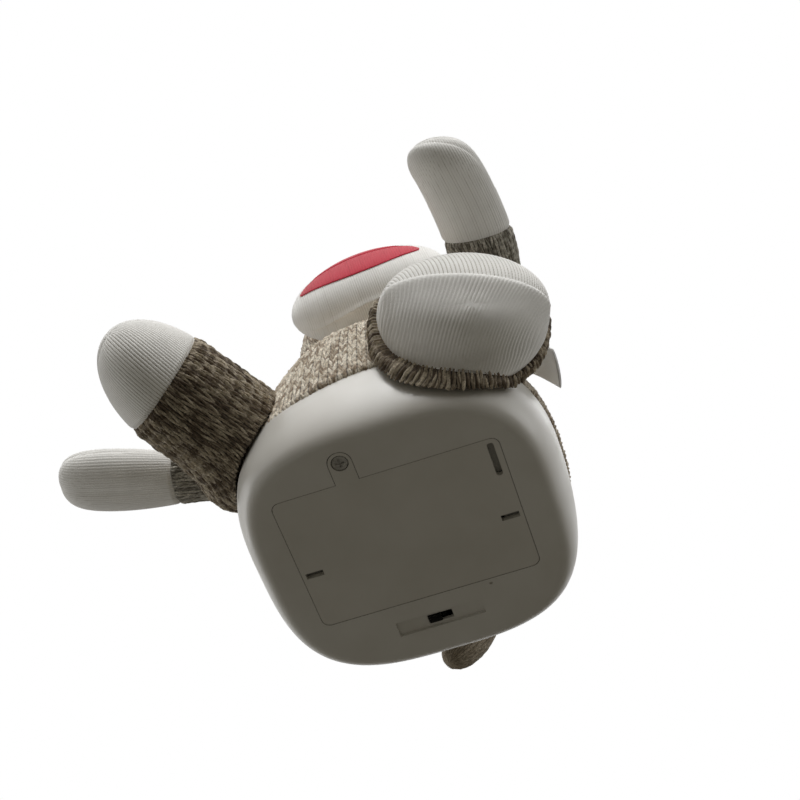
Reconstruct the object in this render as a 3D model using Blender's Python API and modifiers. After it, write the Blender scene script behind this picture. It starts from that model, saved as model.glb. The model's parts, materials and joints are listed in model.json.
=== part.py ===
"""Seated sock monkey doll on a battery base: a moulded bowl, its works, and a stuffed knit figure above."""

from math import asin, cos, pi, radians, sin

import bmesh
import bpy
import numpy as np
from mathutils import Matrix, Vector

MM = 0.001

# General fits
SEAT_GAP = 0.3 * MM
RUN_GAP = 0.35 * MM
SOFT_GAP = 0.4 * MM
SWING_GAP = 0.9 * MM
POCKET_GAP = 0.6 * MM
OVERRUN = 2.0 * MM
WELD = 0.01 * MM

# Bowl base, origin at the middle of its flat bottom
BASE_HALF_WIDTH = 51.0 * MM
BASE_HALF_DEPTH = 47.5 * MM
BASE_CENTRE_Y = -2.5 * MM
RIM_HEIGHT = 27.0 * MM
SHELL_WALL = 2.2 * MM
FLOOR = 2.2 * MM
FLAT_SHARE = 0.84
BOWL_POWER = 2.4
FLAT_PLAN_POWER = 3.2
RIM_PLAN_POWER = 2.5
BOWL_RING_SHARES = (0.0, 0.03, 0.09, 0.2, 0.36, 0.6, 0.8, 1.0)
BOWL_POINTS = 44

# Battery door and its captive screw
DOOR_WIDTH = 70.0 * MM
DOOR_DEPTH = 47.0 * MM
DOOR_CENTRE_Y = -6.0 * MM
DOOR_THICK = 1.9 * MM
DOOR_CORNER = 2.5 * MM
TAB_RADIUS = 3.6 * MM
SCREW_X = -10.7 * MM
SCREW_REACH = 6.8 * MM
HEAD_RADIUS = 2.3 * MM
HEAD_HEIGHT = 0.8 * MM
HEAD_RECESS = 0.2 * MM
SHANK_RADIUS = 1.2 * MM
SHANK_LENGTH = 6.6 * MM
CROSS_WIDTH = 0.7 * MM
CROSS_LENGTH = 2.9 * MM
CROSS_DEPTH = 0.45 * MM
BOSS_RADIUS = 4.0 * MM
BOSS_HEIGHT = 8.0 * MM
BOSS_SWING_ROOM = 0.9 * MM
PULL_SLOT_LENGTH = 11.5 * MM
PULL_SLOT_WIDTH = 2.0 * MM
PULL_SLOT_INSET = 2.8 * MM
PULL_SLOT_FRONT = 1.4 * MM
PULL_SLOT_CORNER = 0.8 * MM
NOTCH_LENGTH = 5.6 * MM
NOTCH_WIDTH = 2.0 * MM
NOTCH_EDGE = 1.2 * MM
NOTCH_BACK = 27.5 * MM
HOOK_WIDTH = 6.0 * MM
HOOK_SPREAD = 40.0 * MM
HOOK_REACH = 2.4 * MM
HOOK_THICK = 1.2 * MM
HOOK_ROOT = 2.2 * MM
HOOK_SIDE_GAP = 0.8 * MM
HOOK_SWING_ROOM = 2.0 * MM

# Slide switch behind the door
RECESS_WIDTH = 28.0 * MM
RECESS_DEPTH = 5.5 * MM
RECESS_BEHIND = 6.5 * MM
RECESS_SINK = 1.0 * MM
SWITCH_SLOT = 8.0 * MM
SWITCH_SLOT_DEPTH = 3.1 * MM
KNOB_WIDTH = 4.0 * MM
KNOB_DEPTH = 2.4 * MM
KNOB_SHY = 0.3 * MM
KNOB_FOOT_WIDTH = 7.0 * MM
KNOB_FOOT_DEPTH = 4.0 * MM
KNOB_FOOT_THICK = 1.2 * MM
KNOB_TRAVEL = 3.4 * MM
CASE_WIDTH = 13.0 * MM
CASE_DEPTH = 7.0 * MM
CASE_HEIGHT = 5.6 * MM
CASE_WALL = 1.0 * MM

# Battery tray, three AA cells side by side
CELL_RADIUS = 7.1 * MM
CELL_LENGTH = 49.2 * MM
CELL_EDGE = 0.7 * MM
NUB_RADIUS = 2.7 * MM
NUB_LENGTH = 1.3 * MM
CELL_PITCH = 15.0 * MM
CELL_COUNT = 3
BAY_LENGTH = 58.0 * MM
TRAY_WALL = 1.6 * MM
TRAY_LIP = 5.6 * MM
LIP_THICK = 1.2 * MM
LIP_CORNER = 4.0 * MM
CONTACT_THICK = 0.5 * MM
CONTACT_HEIGHT = 11.0 * MM
SPRING_RADIUS = 3.0 * MM
SPRING_TIP_RADIUS = 2.0 * MM
SPRING_WIRE = 0.35 * MM
SPRING_TURNS = 3
SPRING_POINTS = 9

# Deck across the rim, with its four screws
DECK_THICK = 2.0 * MM
DECK_SINK = 0.6 * MM
DECK_HOLE = 2.6 * MM
POST_RADIUS = 3.2 * MM
POST_FOOT_SHARE = 0.9
POST_SIDE_INSET = 17.0 * MM
POST_BACK_INSET = 17.5 * MM
POST_FRONT_X = 20.0 * MM
POST_FRONT_INSET = 12.4 * MM
DECK_SCREW_HEAD = 2.5 * MM
DECK_SCREW_HEAD_HEIGHT = 1.3 * MM
DECK_SCREW_SHANK = 1.2 * MM
DECK_SCREW_LENGTH = 10.0 * MM
DECK_COUNTERBORE = 1.1 * MM

# Sound: board and loudspeaker on the tray
BOARD_WIDTH = 26.0 * MM
BOARD_DEPTH = 36.0 * MM
BOARD_THICK = 1.6 * MM
BOARD_X = 15.5 * MM
CHIP_SIZE = 8.0 * MM
CHIP_HEIGHT = 1.6 * MM
SPEAKER_RADIUS = 13.5 * MM
SPEAKER_MAGNET = 8.0 * MM
SPEAKER_HEIGHT = 4.4 * MM
SPEAKER_X = -14.5 * MM
SPEAKER_RIM = 1.4 * MM

# Gear train on the deck: all shafts run front to back
GEAR_MODULE = 0.6 * MM
PINION_TEETH = 8
IDLER_TEETH = 30
IDLER_PINION_TEETH = 10
WEIGHT_TEETH = 30
GEAR_FACE = 2.5 * MM
ADDENDUM_SHARE = 0.8
DEDENDUM_SHARE = 1.2
ROOT_FLANK_SHARE = 0.29
TIP_FLANK_SHARE = 0.12
MOTOR_RADIUS = 10.0 * MM
MOTOR_LENGTH = 20.0 * MM
MOTOR_X = 2.0 * MM
MOTOR_SHAFT = 1.0 * MM
MOTOR_LIFT = 1.4 * MM
MOTOR_SOCKET = 2.0 * MM
CRADLE_HALF_WIDTH = 6.0 * MM
TERMINAL_DROP = 5.0 * MM
TERMINAL_SPREAD = 3.3 * MM
IDLER_TURN = radians(134.0)
WEIGHT_TURN = radians(16.5)
AXLE_RADIUS = 1.0 * MM
AXLE_GAP = 0.08 * MM
PLATE_THICK = 1.5 * MM
PLATE_HALF_WIDTH = 15.6 * MM
FRONT_PLATE_Y = -9.6 * MM
REAR_PLATE_Y = 7.0 * MM
IDLER_Y = 3.4 * MM
WEIGHT_GEAR_Y = 0.3 * MM
SHAKER_Y = -5.0 * MM
SHAKER_RADIUS = 10.0 * MM
SHAKER_THICK = 4.6 * MM
HUB_RADIUS = 2.2 * MM

# Cover over the works
COVER_WALL = 1.5 * MM
COVER_HALF_WIDTH = 17.6 * MM
COVER_FRONT = -12.4 * MM
COVER_STEP = 10.0 * MM
COVER_BACK = 34.0 * MM
COVER_TOP = 63.0 * MM
COVER_LOW_TOP = 50.8 * MM
COVER_FOOT = 6.5 * MM
COVER_FOOT_DEPTH = 8.0 * MM
COVER_FOOT_Y = 21.0 * MM
COVER_FOOT_THICK = 1.5 * MM
COVER_SCREW_LENGTH = 2.6 * MM

# Leads from the board to the motor
LEAD_RADIUS = 0.6 * MM
LEAD_SPACING = 2.0 * MM
LEAD_PLACE = (13.0 * MM, 22.0 * MM)
LEAD_CORNER = 2.4 * MM
LEAD_LIFTS = (7.2 * MM, 4.8 * MM)

# Knit body: each course's rise, width, depth and lean, as shares of the body's own sizes
HEM_PROUD = 0.8 * MM
TORSO_TOP = 78.6 * MM
TORSO_POINTS = 30
TORSO_START_POWER = 2.4
TORSO_END_POWER = 2.0
TORSO_COURSE_SHARES = (
    (0.0, 0.965, 0.965, 0.0),
    (0.021, 0.996, 0.996, 0.0),
    (0.131, 1.0, 1.0, 0.055),
    (0.326, 0.946, 0.975, 0.273),
    (0.52, 0.878, 0.944, 0.545),
    (0.676, 0.792, 0.892, 0.782),
    (0.813, 0.685, 0.768, 1.0),
    (0.91, 0.56, 0.622, 1.0),
    (0.979, 0.386, 0.436, 1.0),
    (1.0, 0.251, 0.29, 1.0),
)

# Head, turning on its neck
HEAD_X = 2.0 * MM
HEAD_Y = -8.0 * MM
HEAD_Z = 114.0 * MM
HEAD_HALF_WIDTH = 37.0 * MM
HEAD_HALF_DEPTH = 34.0 * MM
HEAD_HALF_HEIGHT = 35.0 * MM
NECK_RADIUS = 10.0 * MM
NECK_BOTTOM = 73.0 * MM
NECK_TOP = 80.4 * MM
CROWN_LINE = 136.0 * MM
CROWN_TIP = 0.8 * MM
HEAD_POINTS = 32
HEAD_RINGS = 9
CROWN_RINGS = 4
MUZZLE_CENTRE = (3.0 * MM, -44.0 * MM, 98.0 * MM)
MUZZLE_HALF = (29.0 * MM, 15.0 * MM, 19.0 * MM)
MUZZLE_TILT = radians(7.0)
LIPS_CENTRE = (2.5 * MM, -55.0 * MM, 96.5 * MM)
LIPS_HALF = (21.0 * MM, 6.5 * MM, 8.4 * MM)
EYE_SPACING = 25.0 * MM
EYE_HEIGHT = 124.5 * MM
EYE_RADIUS = 4.6 * MM
EYE_HALF_THICK = 3.2 * MM
EAR_RADIUS = 12.0 * MM
EAR_HALF_THICK = 4.5 * MM
EAR_OUT = 44.5 * MM
EAR_HEIGHT = 115.0 * MM
EAR_BACK = 4.0 * MM

# Limbs: joint, tip, the wide direction and the half sizes
RIGHT_LEG_SIZES = {
    "wide": 23.3 * MM,
    "narrow": 17.5 * MM,
    "ball": 11.0 * MM,
    "bow": 0.0,
    "side_bow": 0.0,
}
LEFT_LEG_SIZES = {
    "wide": 26.4 * MM,
    "narrow": 18.4 * MM,
    "ball": 11.0 * MM,
    "bow": 11.0 * MM,
    "side_bow": 0.0,
}
RIGHT_ARM_SIZES = {
    "wide": 10.5 * MM,
    "narrow": 7.4 * MM,
    "ball": 7.4 * MM,
    "bow": 2.0 * MM,
    "side_bow": 0.0,
}
LEFT_ARM_SIZES = {
    "wide": 11.2 * MM,
    "narrow": 7.6 * MM,
    "ball": 7.4 * MM,
    "bow": 1.0 * MM,
    "side_bow": 8.0 * MM,
}
LEG_SHARES = (0.06, 0.42, 0.985)
LEG_TAPER_POWER = 2.6
ARM_SHARES = (0.05, 0.6, 0.99)
ARM_TAPER_POWER = 5.0
KNIT_RINGS = 5
PALE_RINGS = 6
RIGHT_LEG_SEAM_SHARE = 0.67
LEFT_LEG_SEAM_SHARE = 0.45
RIGHT_ARM_SEAM_SHARE = 0.56
LEFT_ARM_SEAM_SHARE = 0.62
LIMB_POINTS = 20
RIGHT_HIP = (-40.0 * MM, -27.0 * MM, 40.0 * MM)
RIGHT_TOE = (-67.5 * MM, -84.0 * MM, 31.0 * MM)
RIGHT_LEG_WIDE = (0.4, -0.05, -0.92)
LEFT_HIP = (26.0 * MM, -25.0 * MM, 47.0 * MM)
LEFT_TOE = (40.0 * MM, -66.0 * MM, 13.0 * MM)
LEFT_LEG_WIDE = (0.96, 0.27, 0.0)
RIGHT_SHOULDER = (-36.0 * MM, -2.0 * MM, 68.0 * MM)
RIGHT_FINGERS = (-124.0 * MM, -18.0 * MM, 80.0 * MM)
RIGHT_ARM_WIDE = (-0.18, 1.0, 0.0)
LEFT_SHOULDER = (34.0 * MM, -8.0 * MM, 67.0 * MM)
LEFT_FINGERS = (41.0 * MM, -97.0 * MM, 74.0 * MM)
LEFT_ARM_WIDE = (1.0, 0.07, 0.0)
HIP_SWING = (radians(-10.0), radians(10.0))
RIGHT_ARM_SWING = (radians(-25.0), radians(25.0))
LEFT_ARM_SWING = (radians(-5.0), radians(35.0))
SWING_STEPS = 3
SWING_REACH = 42.0 * MM

# Tail behind the base: its root, how far it reaches out, down and aside, and its route as shares of these
TAIL_X = 8.0 * MM
TAIL_Z = 36.0 * MM
TAIL_INSET = 2.0 * MM
TAIL_ASIDE = -9.0 * MM
TAIL_REACH = 12.0 * MM
TAIL_DROP = 25.5 * MM
TAIL_ROUTE_SHARES = (
    (0.0, 0.0, 0.0),
    (-0.05, 0.62, 0.02),
    (0.06, 1.0, 0.24),
    (0.39, 1.0, 0.55),
    (0.78, 0.88, 0.82),
    (1.0, 0.79, 1.0),
)
TAIL_RADIUS = 7.2 * MM
TAIL_ROOT_SHARE = 0.8
TAIL_TIP_SHARE = 0.45
TAIL_RINGS = 12
TAIL_POINTS = 14
TAIL_POCKET = 12.8 * MM

# Label in the side seam
LABEL_WIDTH = 13.0 * MM
LABEL_LENGTH = 17.0 * MM
LABEL_THICK = 0.8 * MM
LABEL_ROOT = (42.4 * MM, -26.9 * MM, 52.0 * MM)
LABEL_TURN = radians(40.0)
LABEL_ROLL = radians(20.0)


def clear_scene():
    """Remove the objects that a new file holds."""
    for thing in list(bpy.data.objects):
        bpy.data.objects.remove(thing, do_unlink=True)


def new_collection(name):
    made = bpy.data.collections.new(name)
    bpy.context.scene.collection.children.link(made)
    return made


clear_scene()
PARTS = new_collection("sock_monkey_doll")
CUTTERS = new_collection("cutters")


def material(name, colour, roughness, metallic=0.0):
    """Principled material of one plain colour."""
    made = bpy.data.materials.new(name)
    made.use_nodes = True
    shader = made.node_tree.nodes["Principled BSDF"]
    shader.inputs["Base Color"].default_value = (*colour, 1.0)
    shader.inputs["Roughness"].default_value = roughness
    shader.inputs["Metallic"].default_value = metallic
    return made


WHITE_SHELL = material("white_shell_plastic", (0.80, 0.79, 0.76), 0.38)
WHITE_DOOR = material("white_door_plastic", (0.78, 0.77, 0.74), 0.42)
BLACK_PLASTIC = material("black_plastic", (0.02, 0.02, 0.02), 0.4)
GREY_PLASTIC = material("grey_plastic", (0.55, 0.55, 0.53), 0.5)
GEAR_PLASTIC = material("gear_plastic", (0.86, 0.85, 0.80), 0.45)
STEEL = material("steel", (0.58, 0.57, 0.55), 0.35, 1.0)
SPRING_STEEL = material("spring_steel", (0.66, 0.65, 0.62), 0.3, 1.0)
CELL_WRAP = material("cell_wrap", (0.10, 0.11, 0.13), 0.35)
BOARD_GREEN = material("board_green", (0.03, 0.16, 0.06), 0.45)
WIRE_RED = material("wire_red", (0.55, 0.03, 0.02), 0.5)
WIRE_BLACK = material("wire_black", (0.02, 0.02, 0.02), 0.5)
HEATHER_KNIT = material("heather_knit", (0.30, 0.24, 0.19), 0.95)
WHITE_KNIT = material("white_knit", (0.84, 0.83, 0.79), 0.9)
RED_CLOTH = material("red_cloth", (0.62, 0.02, 0.03), 0.85)
WHITE_SATIN = material("white_satin", (0.86, 0.86, 0.85), 0.5)
EYE_BLACK = material("eye_black", (0.012, 0.012, 0.012), 0.12)


def add_object(name, mesh, finish=None, place=(0.0, 0.0, 0.0)):
    """Link a mesh as a part, or as a cutter where it has no finish."""
    made = bpy.data.objects.new(name, mesh)
    made.location = place
    if finish is None:
        CUTTERS.objects.link(made)
        made.hide_render = True
        made.display_type = "WIRE"
    else:
        PARTS.objects.link(made)
        mesh.materials.append(finish)
    return made


def shade(mesh, sharp=radians(40.0)):
    mesh.shade_smooth()
    mesh.set_sharp_from_angle(angle=sharp)
    return mesh


def mesh_from_bmesh(name, form):
    bmesh.ops.recalc_face_normals(form, faces=form.faces)
    mesh = bpy.data.meshes.new(name)
    form.to_mesh(mesh)
    form.free()
    return mesh


def box(name, low, high, finish=None, rounding=0.0):
    """Box between two corners, its upright edges rounded where asked."""
    form = bmesh.new()
    bmesh.ops.create_cube(form, size=1.0)
    size = Vector(high) - Vector(low)
    middle = (Vector(high) + Vector(low)) / 2
    bmesh.ops.scale(form, vec=size, verts=form.verts)
    bmesh.ops.translate(form, vec=middle, verts=form.verts)
    if rounding:
        upright = [e for e in form.edges if abs(e.verts[0].co.z - e.verts[1].co.z) > size.z / 2]
        bmesh.ops.bevel(form, geom=upright, offset=rounding, segments=3, profile=0.5, affect="EDGES")
    return add_object(name, mesh_from_bmesh(name, form), finish)


def rod(name, start, end, radius, finish=None, sides=18):
    """Straight round bar between two points."""
    start, end = Vector(start), Vector(end)
    along = end - start
    form = bmesh.new()
    turned = along.to_track_quat("Z", "Y").to_matrix().to_4x4()
    bmesh.ops.create_cone(
        form,
        cap_ends=True,
        segments=sides,
        radius1=radius,
        radius2=radius,
        depth=along.length,
        matrix=Matrix.Translation((start + end) / 2) @ turned,
    )
    return add_object(name, shade(mesh_from_bmesh(name, form)), finish)


def loft(name, rings, finish=None, poles=(None, None)):
    """Closed body through rings of points; an end is a pole point, or flat where it has none."""
    rings = [np.asarray(ring) for ring in rings]
    count = len(rings[0])
    form = bmesh.new()
    rows = [[form.verts.new(point) for point in ring] for ring in rings]
    for lower, upper in zip(rows, rows[1:]):
        for i in range(count):
            j = (i + 1) % count
            form.faces.new((lower[i], lower[j], upper[j], upper[i]))
    for row, pole in ((rows[0], poles[0]), (rows[-1], poles[1])):
        if pole is None:
            form.faces.new(row)
            continue
        tip = form.verts.new(pole)
        for i in range(count):
            form.faces.new((row[i], row[(i + 1) % count], tip))
    return add_object(name, shade(mesh_from_bmesh(name, form)), finish)


def oval(centre, across, up, power=2.0, count=24):
    """Ring of a superellipse whose half axes are the two vectors."""
    angle = np.arange(count) * 2 * pi / count
    x = np.sign(np.cos(angle)) * np.abs(np.cos(angle)) ** (2 / power)
    y = np.sign(np.sin(angle)) * np.abs(np.sin(angle)) ** (2 / power)
    return np.asarray(centre) + np.outer(x, across) + np.outer(y, up)


def flat_oval(half_width, half_depth, middle_y, height, power, count):
    return oval((0.0, middle_y, height), (half_width, 0.0, 0.0), (0.0, half_depth, 0.0), power, count)


def combine(target, operand, operation="DIFFERENCE"):
    """Boolean of one object on another; the operand stays behind as a hidden guide."""
    step = target.modifiers.new(operation.lower() + "_" + operand.name, "BOOLEAN")
    step.operation = operation
    step.object = operand
    step.solver = "EXACT"
    return target


def cut(target, *operands):
    for operand in operands:
        combine(target, operand)


def join(target, *operands):
    for operand in operands:
        combine(target, operand, "UNION")


def turned(name, profile, place, finish=None, axis="Z", steps=24):
    """Profile of radius and height, top to bottom, turned about its own axis."""
    form = bmesh.new()
    points = [form.verts.new((radius, 0.0, height)) for radius, height in profile]
    for a, b in zip(points, points[1:]):
        form.edges.new((a, b))
    mesh = bpy.data.meshes.new(name)
    form.to_mesh(mesh)
    form.free()
    made = add_object(name, mesh, finish, place)
    made.rotation_euler = {"Z": (0.0, 0.0, 0.0), "X": (0.0, pi / 2, 0.0), "Y": (-pi / 2, 0.0, 0.0)}[axis]
    spin = made.modifiers.new("turn", "SCREW")
    spin.steps = spin.render_steps = steps
    spin.merge_threshold = WELD
    spin.use_merge_vertices = True
    spin.use_smooth_shade = True
    return made


def move_origin(thing, point):
    """Put an object's origin on its joint, its shape unmoved."""
    point = Vector(point)
    thing.data.transform(Matrix.Translation(-point))
    thing.location = point
    return thing


def bowl_share(height):
    """How much of the rim's plan the bowl has at a height: the flat bottom, swelling as a superellipse."""
    rise = min(max(height / RIM_HEIGHT, 0.0), 1.0)
    return FLAT_SHARE + (1 - FLAT_SHARE) * (1 - (1 - rise) ** BOWL_POWER) ** (1 / BOWL_POWER)


def bowl_ring(height, inset=0.0):
    """Plan of the bowl at a height, drawn in by an inset."""
    share = bowl_share(height)
    rise = min(height / RIM_HEIGHT, 1.0)
    power = FLAT_PLAN_POWER + (RIM_PLAN_POWER - FLAT_PLAN_POWER) * rise
    half_width, half_depth = BASE_HALF_WIDTH * share - inset, BASE_HALF_DEPTH * share - inset
    return flat_oval(half_width, half_depth, BASE_CENTRE_Y, height, power, BOWL_POINTS)


POST_BACK_X = BASE_HALF_WIDTH - POST_SIDE_INSET
POST_BACK_Y = BASE_CENTRE_Y + BASE_HALF_DEPTH - POST_BACK_INSET
POST_FRONT_Y = BASE_CENTRE_Y - BASE_HALF_DEPTH + POST_FRONT_INSET
POST_PLACES = (
    (POST_BACK_X, POST_BACK_Y),
    (-POST_BACK_X, POST_BACK_Y),
    (POST_FRONT_X, POST_FRONT_Y),
    (-POST_FRONT_X, POST_FRONT_Y),
)
DOOR_FRONT = DOOR_CENTRE_Y - DOOR_DEPTH / 2
DOOR_BACK = DOOR_CENTRE_Y + DOOR_DEPTH / 2
SCREW_Y = DOOR_FRONT - SCREW_REACH
SWITCH_Y = DOOR_BACK + RECESS_BEHIND + RECESS_DEPTH / 2
LIP_BOTTOM = FLOOR + SEAT_GAP
DECK_TOP = RIM_HEIGHT - DECK_SINK
DECK_BOTTOM = DECK_TOP - DECK_THICK
WORKS_FLOOR = DECK_TOP + SEAT_GAP
CELL_Z = DOOR_THICK + SEAT_GAP + SEAT_GAP + CELL_RADIUS
TRAY_TOP = CELL_Z + CELL_RADIUS + SEAT_GAP + TRAY_WALL


def base_shell():
    """Bowl with its door opening, its switch recess and the deck's four posts."""
    heights = [RIM_HEIGHT * share for share in BOWL_RING_SHARES]
    shell = loft("base_shell", [bowl_ring(height) for height in heights], WHITE_SHELL)
    inner = [FLOOR + (RIM_HEIGHT - FLOOR) * share for share in BOWL_RING_SHARES]
    rings = [bowl_ring(height, SHELL_WALL) for height in inner]
    rings.append(bowl_ring(RIM_HEIGHT, SHELL_WALL) + np.array((0.0, 0.0, OVERRUN)))
    cut(shell, loft("shell_hollow", rings))
    for number, (x, y) in enumerate(POST_PLACES, 1):
        foot = (x, y, FLOOR * POST_FOOT_SHARE)
        join(shell, rod(f"post_{number}", foot, (x, y, DECK_BOTTOM - SEAT_GAP), POST_RADIUS))
        hole_low = (x, y, FLOOR + SHELL_WALL)
        hole = rod(f"post_hole_{number}", hole_low, (x, y, DECK_TOP), DECK_SCREW_SHANK + RUN_GAP)
        cut(shell, hole)
    door_low = (-DOOR_WIDTH / 2 - RUN_GAP, DOOR_FRONT - RUN_GAP, -OVERRUN)
    door_high = (DOOR_WIDTH / 2 + RUN_GAP, DOOR_BACK + RUN_GAP, FLOOR + OVERRUN)
    cut(shell, box("door_opening", door_low, door_high, rounding=DOOR_CORNER))
    tab = TAB_RADIUS + RUN_GAP
    neck_high = (SCREW_X + tab, DOOR_CENTRE_Y, FLOOR + OVERRUN)
    cut(shell, box("tab_neck", (SCREW_X - tab, SCREW_Y, -OVERRUN), neck_high))
    cut(shell, rod("tab_round", (SCREW_X, SCREW_Y, -OVERRUN), (SCREW_X, SCREW_Y, FLOOR + OVERRUN), tab))
    half, deep = RECESS_WIDTH / 2, RECESS_DEPTH / 2
    recess_low = (-half, SWITCH_Y - deep, -OVERRUN)
    cut(shell, box("switch_recess", recess_low, (half, SWITCH_Y + deep, RECESS_SINK)))
    half, deep = SWITCH_SLOT / 2, SWITCH_SLOT_DEPTH / 2
    slot_low = (-half, SWITCH_Y - deep, -OVERRUN)
    cut(shell, box("switch_slot", slot_low, (half, SWITCH_Y + deep, FLOOR + OVERRUN)))
    return shell


def battery_door():
    """Door plate with its screw tab and two hooks; its origin is on the hinge line."""
    half = DOOR_WIDTH / 2
    plate_low, plate_high = (-half, DOOR_FRONT, 0.0), (half, DOOR_BACK, DOOR_THICK)
    door = box("battery_door", plate_low, plate_high, WHITE_DOOR, DOOR_CORNER)
    neck = (SCREW_X - TAB_RADIUS, SCREW_Y, 0.0)
    join(door, box("door_neck", neck, (SCREW_X + TAB_RADIUS, DOOR_CENTRE_Y, DOOR_THICK)))
    join(door, rod("door_tab", (SCREW_X, SCREW_Y, 0.0), (SCREW_X, SCREW_Y, DOOR_THICK), TAB_RADIUS))
    for side in (-1, 1):
        x = side * HOOK_SPREAD / 2
        low, high = x - HOOK_WIDTH / 2, x + HOOK_WIDTH / 2
        root, end = DOOR_BACK - HOOK_ROOT - SEAT_GAP, DOOR_BACK + HOOK_REACH
        top = LIP_BOTTOM + HOOK_THICK
        riser = box(f"hook_riser_{side}", (low, root, DOOR_THICK / 2), (high, DOOR_BACK - SEAT_GAP, top))
        claw_low = (low, (root + DOOR_BACK) / 2, LIP_BOTTOM)
        join(door, riser, box(f"hook_claw_{side}", claw_low, (high, end, top)))
    bore = HEAD_RADIUS + RUN_GAP
    sink = HEAD_RECESS + HEAD_HEIGHT + SEAT_GAP
    cut(door, rod("head_bore", (SCREW_X, SCREW_Y, -OVERRUN), (SCREW_X, SCREW_Y, sink), bore))
    through = SHANK_RADIUS + RUN_GAP
    cut(door, rod("shank_bore", (SCREW_X, SCREW_Y, -OVERRUN), (SCREW_X, SCREW_Y, FLOOR + OVERRUN), through))
    right = half - PULL_SLOT_INSET
    front = DOOR_FRONT + PULL_SLOT_FRONT
    low = (right - PULL_SLOT_WIDTH / 2, front, -OVERRUN)
    high = (right + PULL_SLOT_WIDTH / 2, front + PULL_SLOT_LENGTH, FLOOR + OVERRUN)
    cut(door, box("pull_slot", low, high, rounding=PULL_SLOT_CORNER))
    back = DOOR_FRONT + NOTCH_BACK
    for side in (-1, 1):
        x = side * (half - NOTCH_EDGE - NOTCH_LENGTH / 2)
        low = (x - NOTCH_LENGTH / 2, back - NOTCH_WIDTH / 2, -OVERRUN)
        high = (x + NOTCH_LENGTH / 2, back + NOTCH_WIDTH / 2, FLOOR + OVERRUN)
        cut(door, box(f"notch_{side}", low, high))
    return move_origin(door, (0.0, DOOR_BACK, 0.0))


def door_screw():
    """Captive screw with a cross recess, its origin on its own axis."""
    head = (SCREW_X, SCREW_Y, HEAD_RECESS)
    top = HEAD_RECESS + HEAD_HEIGHT
    screw = rod("door_screw", head, (SCREW_X, SCREW_Y, top), HEAD_RADIUS, STEEL, sides=24)
    shank_start = (SCREW_X, SCREW_Y, HEAD_RECESS + HEAD_HEIGHT / 2)
    shank_end = (SCREW_X, SCREW_Y, top + SHANK_LENGTH)
    join(screw, rod("screw_shank", shank_start, shank_end, SHANK_RADIUS, sides=16))
    for number, (x, y) in enumerate(((CROSS_LENGTH, CROSS_WIDTH), (CROSS_WIDTH, CROSS_LENGTH))):
        low = (SCREW_X - x / 2, SCREW_Y - y / 2, -OVERRUN)
        high = (SCREW_X + x / 2, SCREW_Y + y / 2, HEAD_RECESS + CROSS_DEPTH)
        cut(screw, box(f"cross_{number}", low, high))
    return move_origin(screw, head)


def battery_tray():
    """Open-bottomed bay for the cells, with its lip on the shell's floor and the door screw's boss."""
    half = BAY_LENGTH / 2
    deep = CELL_PITCH * CELL_COUNT / 2
    low = (-half - TRAY_WALL, DOOR_CENTRE_Y - deep - TRAY_WALL, LIP_BOTTOM)
    high = (half + TRAY_WALL, DOOR_CENTRE_Y + deep + TRAY_WALL, TRAY_TOP)
    tray = box("battery_tray", low, high, GREY_PLASTIC)
    reach = half + TRAY_WALL + TRAY_LIP
    edge = DOOR_DEPTH / 2 + DOOR_THICK
    lip_low = (-reach, DOOR_CENTRE_Y - edge, LIP_BOTTOM)
    lip_high = (reach, DOOR_CENTRE_Y + edge, LIP_BOTTOM + LIP_THICK)
    join(tray, box("tray_lip", lip_low, lip_high, rounding=LIP_CORNER))
    boss_low = (SCREW_X, SCREW_Y, LIP_BOTTOM)
    join(tray, rod("screw_boss", boss_low, (SCREW_X, SCREW_Y, LIP_BOTTOM + BOSS_HEIGHT), BOSS_RADIUS))
    web_low = (SCREW_X - BOSS_RADIUS / 2, SCREW_Y, LIP_BOTTOM)
    web_high = (SCREW_X + BOSS_RADIUS / 2, DOOR_CENTRE_Y - deep - TRAY_WALL / 2, LIP_BOTTOM + BOSS_HEIGHT)
    join(tray, box("boss_web", web_low, web_high))
    bore = SHANK_RADIUS + BOSS_SWING_ROOM
    bore_top = (SCREW_X, SCREW_Y, LIP_BOTTOM + BOSS_HEIGHT + OVERRUN)
    cut(tray, rod("boss_bore", (SCREW_X, SCREW_Y, 0.0), bore_top, bore))
    bay_low = (-half, DOOR_CENTRE_Y - deep, -OVERRUN)
    cut(tray, box("bay", bay_low, (half, DOOR_CENTRE_Y + deep, TRAY_TOP - TRAY_WALL)))
    for side in (-1, 1):
        x = side * HOOK_SPREAD / 2
        wide = HOOK_WIDTH / 2 + HOOK_SIDE_GAP
        back = DOOR_BACK + HOOK_REACH + HOOK_SIDE_GAP
        roof = LIP_BOTTOM + HOOK_THICK + HOOK_SWING_ROOM
        low = (x - wide, DOOR_BACK - HOOK_ROOT - HOOK_SWING_ROOM, -OVERRUN)
        cut(tray, box(f"hook_room_{side}", low, (x + wide, back, roof)))
    return tray


CELL_SLACK = (BAY_LENGTH - CELL_LENGTH - NUB_LENGTH) / 2 - CONTACT_THICK - 2 * SEAT_GAP


def cell_place(number):
    return DOOR_CENTRE_Y + (number - (CELL_COUNT - 1) / 2) * CELL_PITCH


def cell_way(number):
    """Which way a cell's nub points along X; the middle cell is turned round."""
    return -1 if number == 1 else 1


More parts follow.
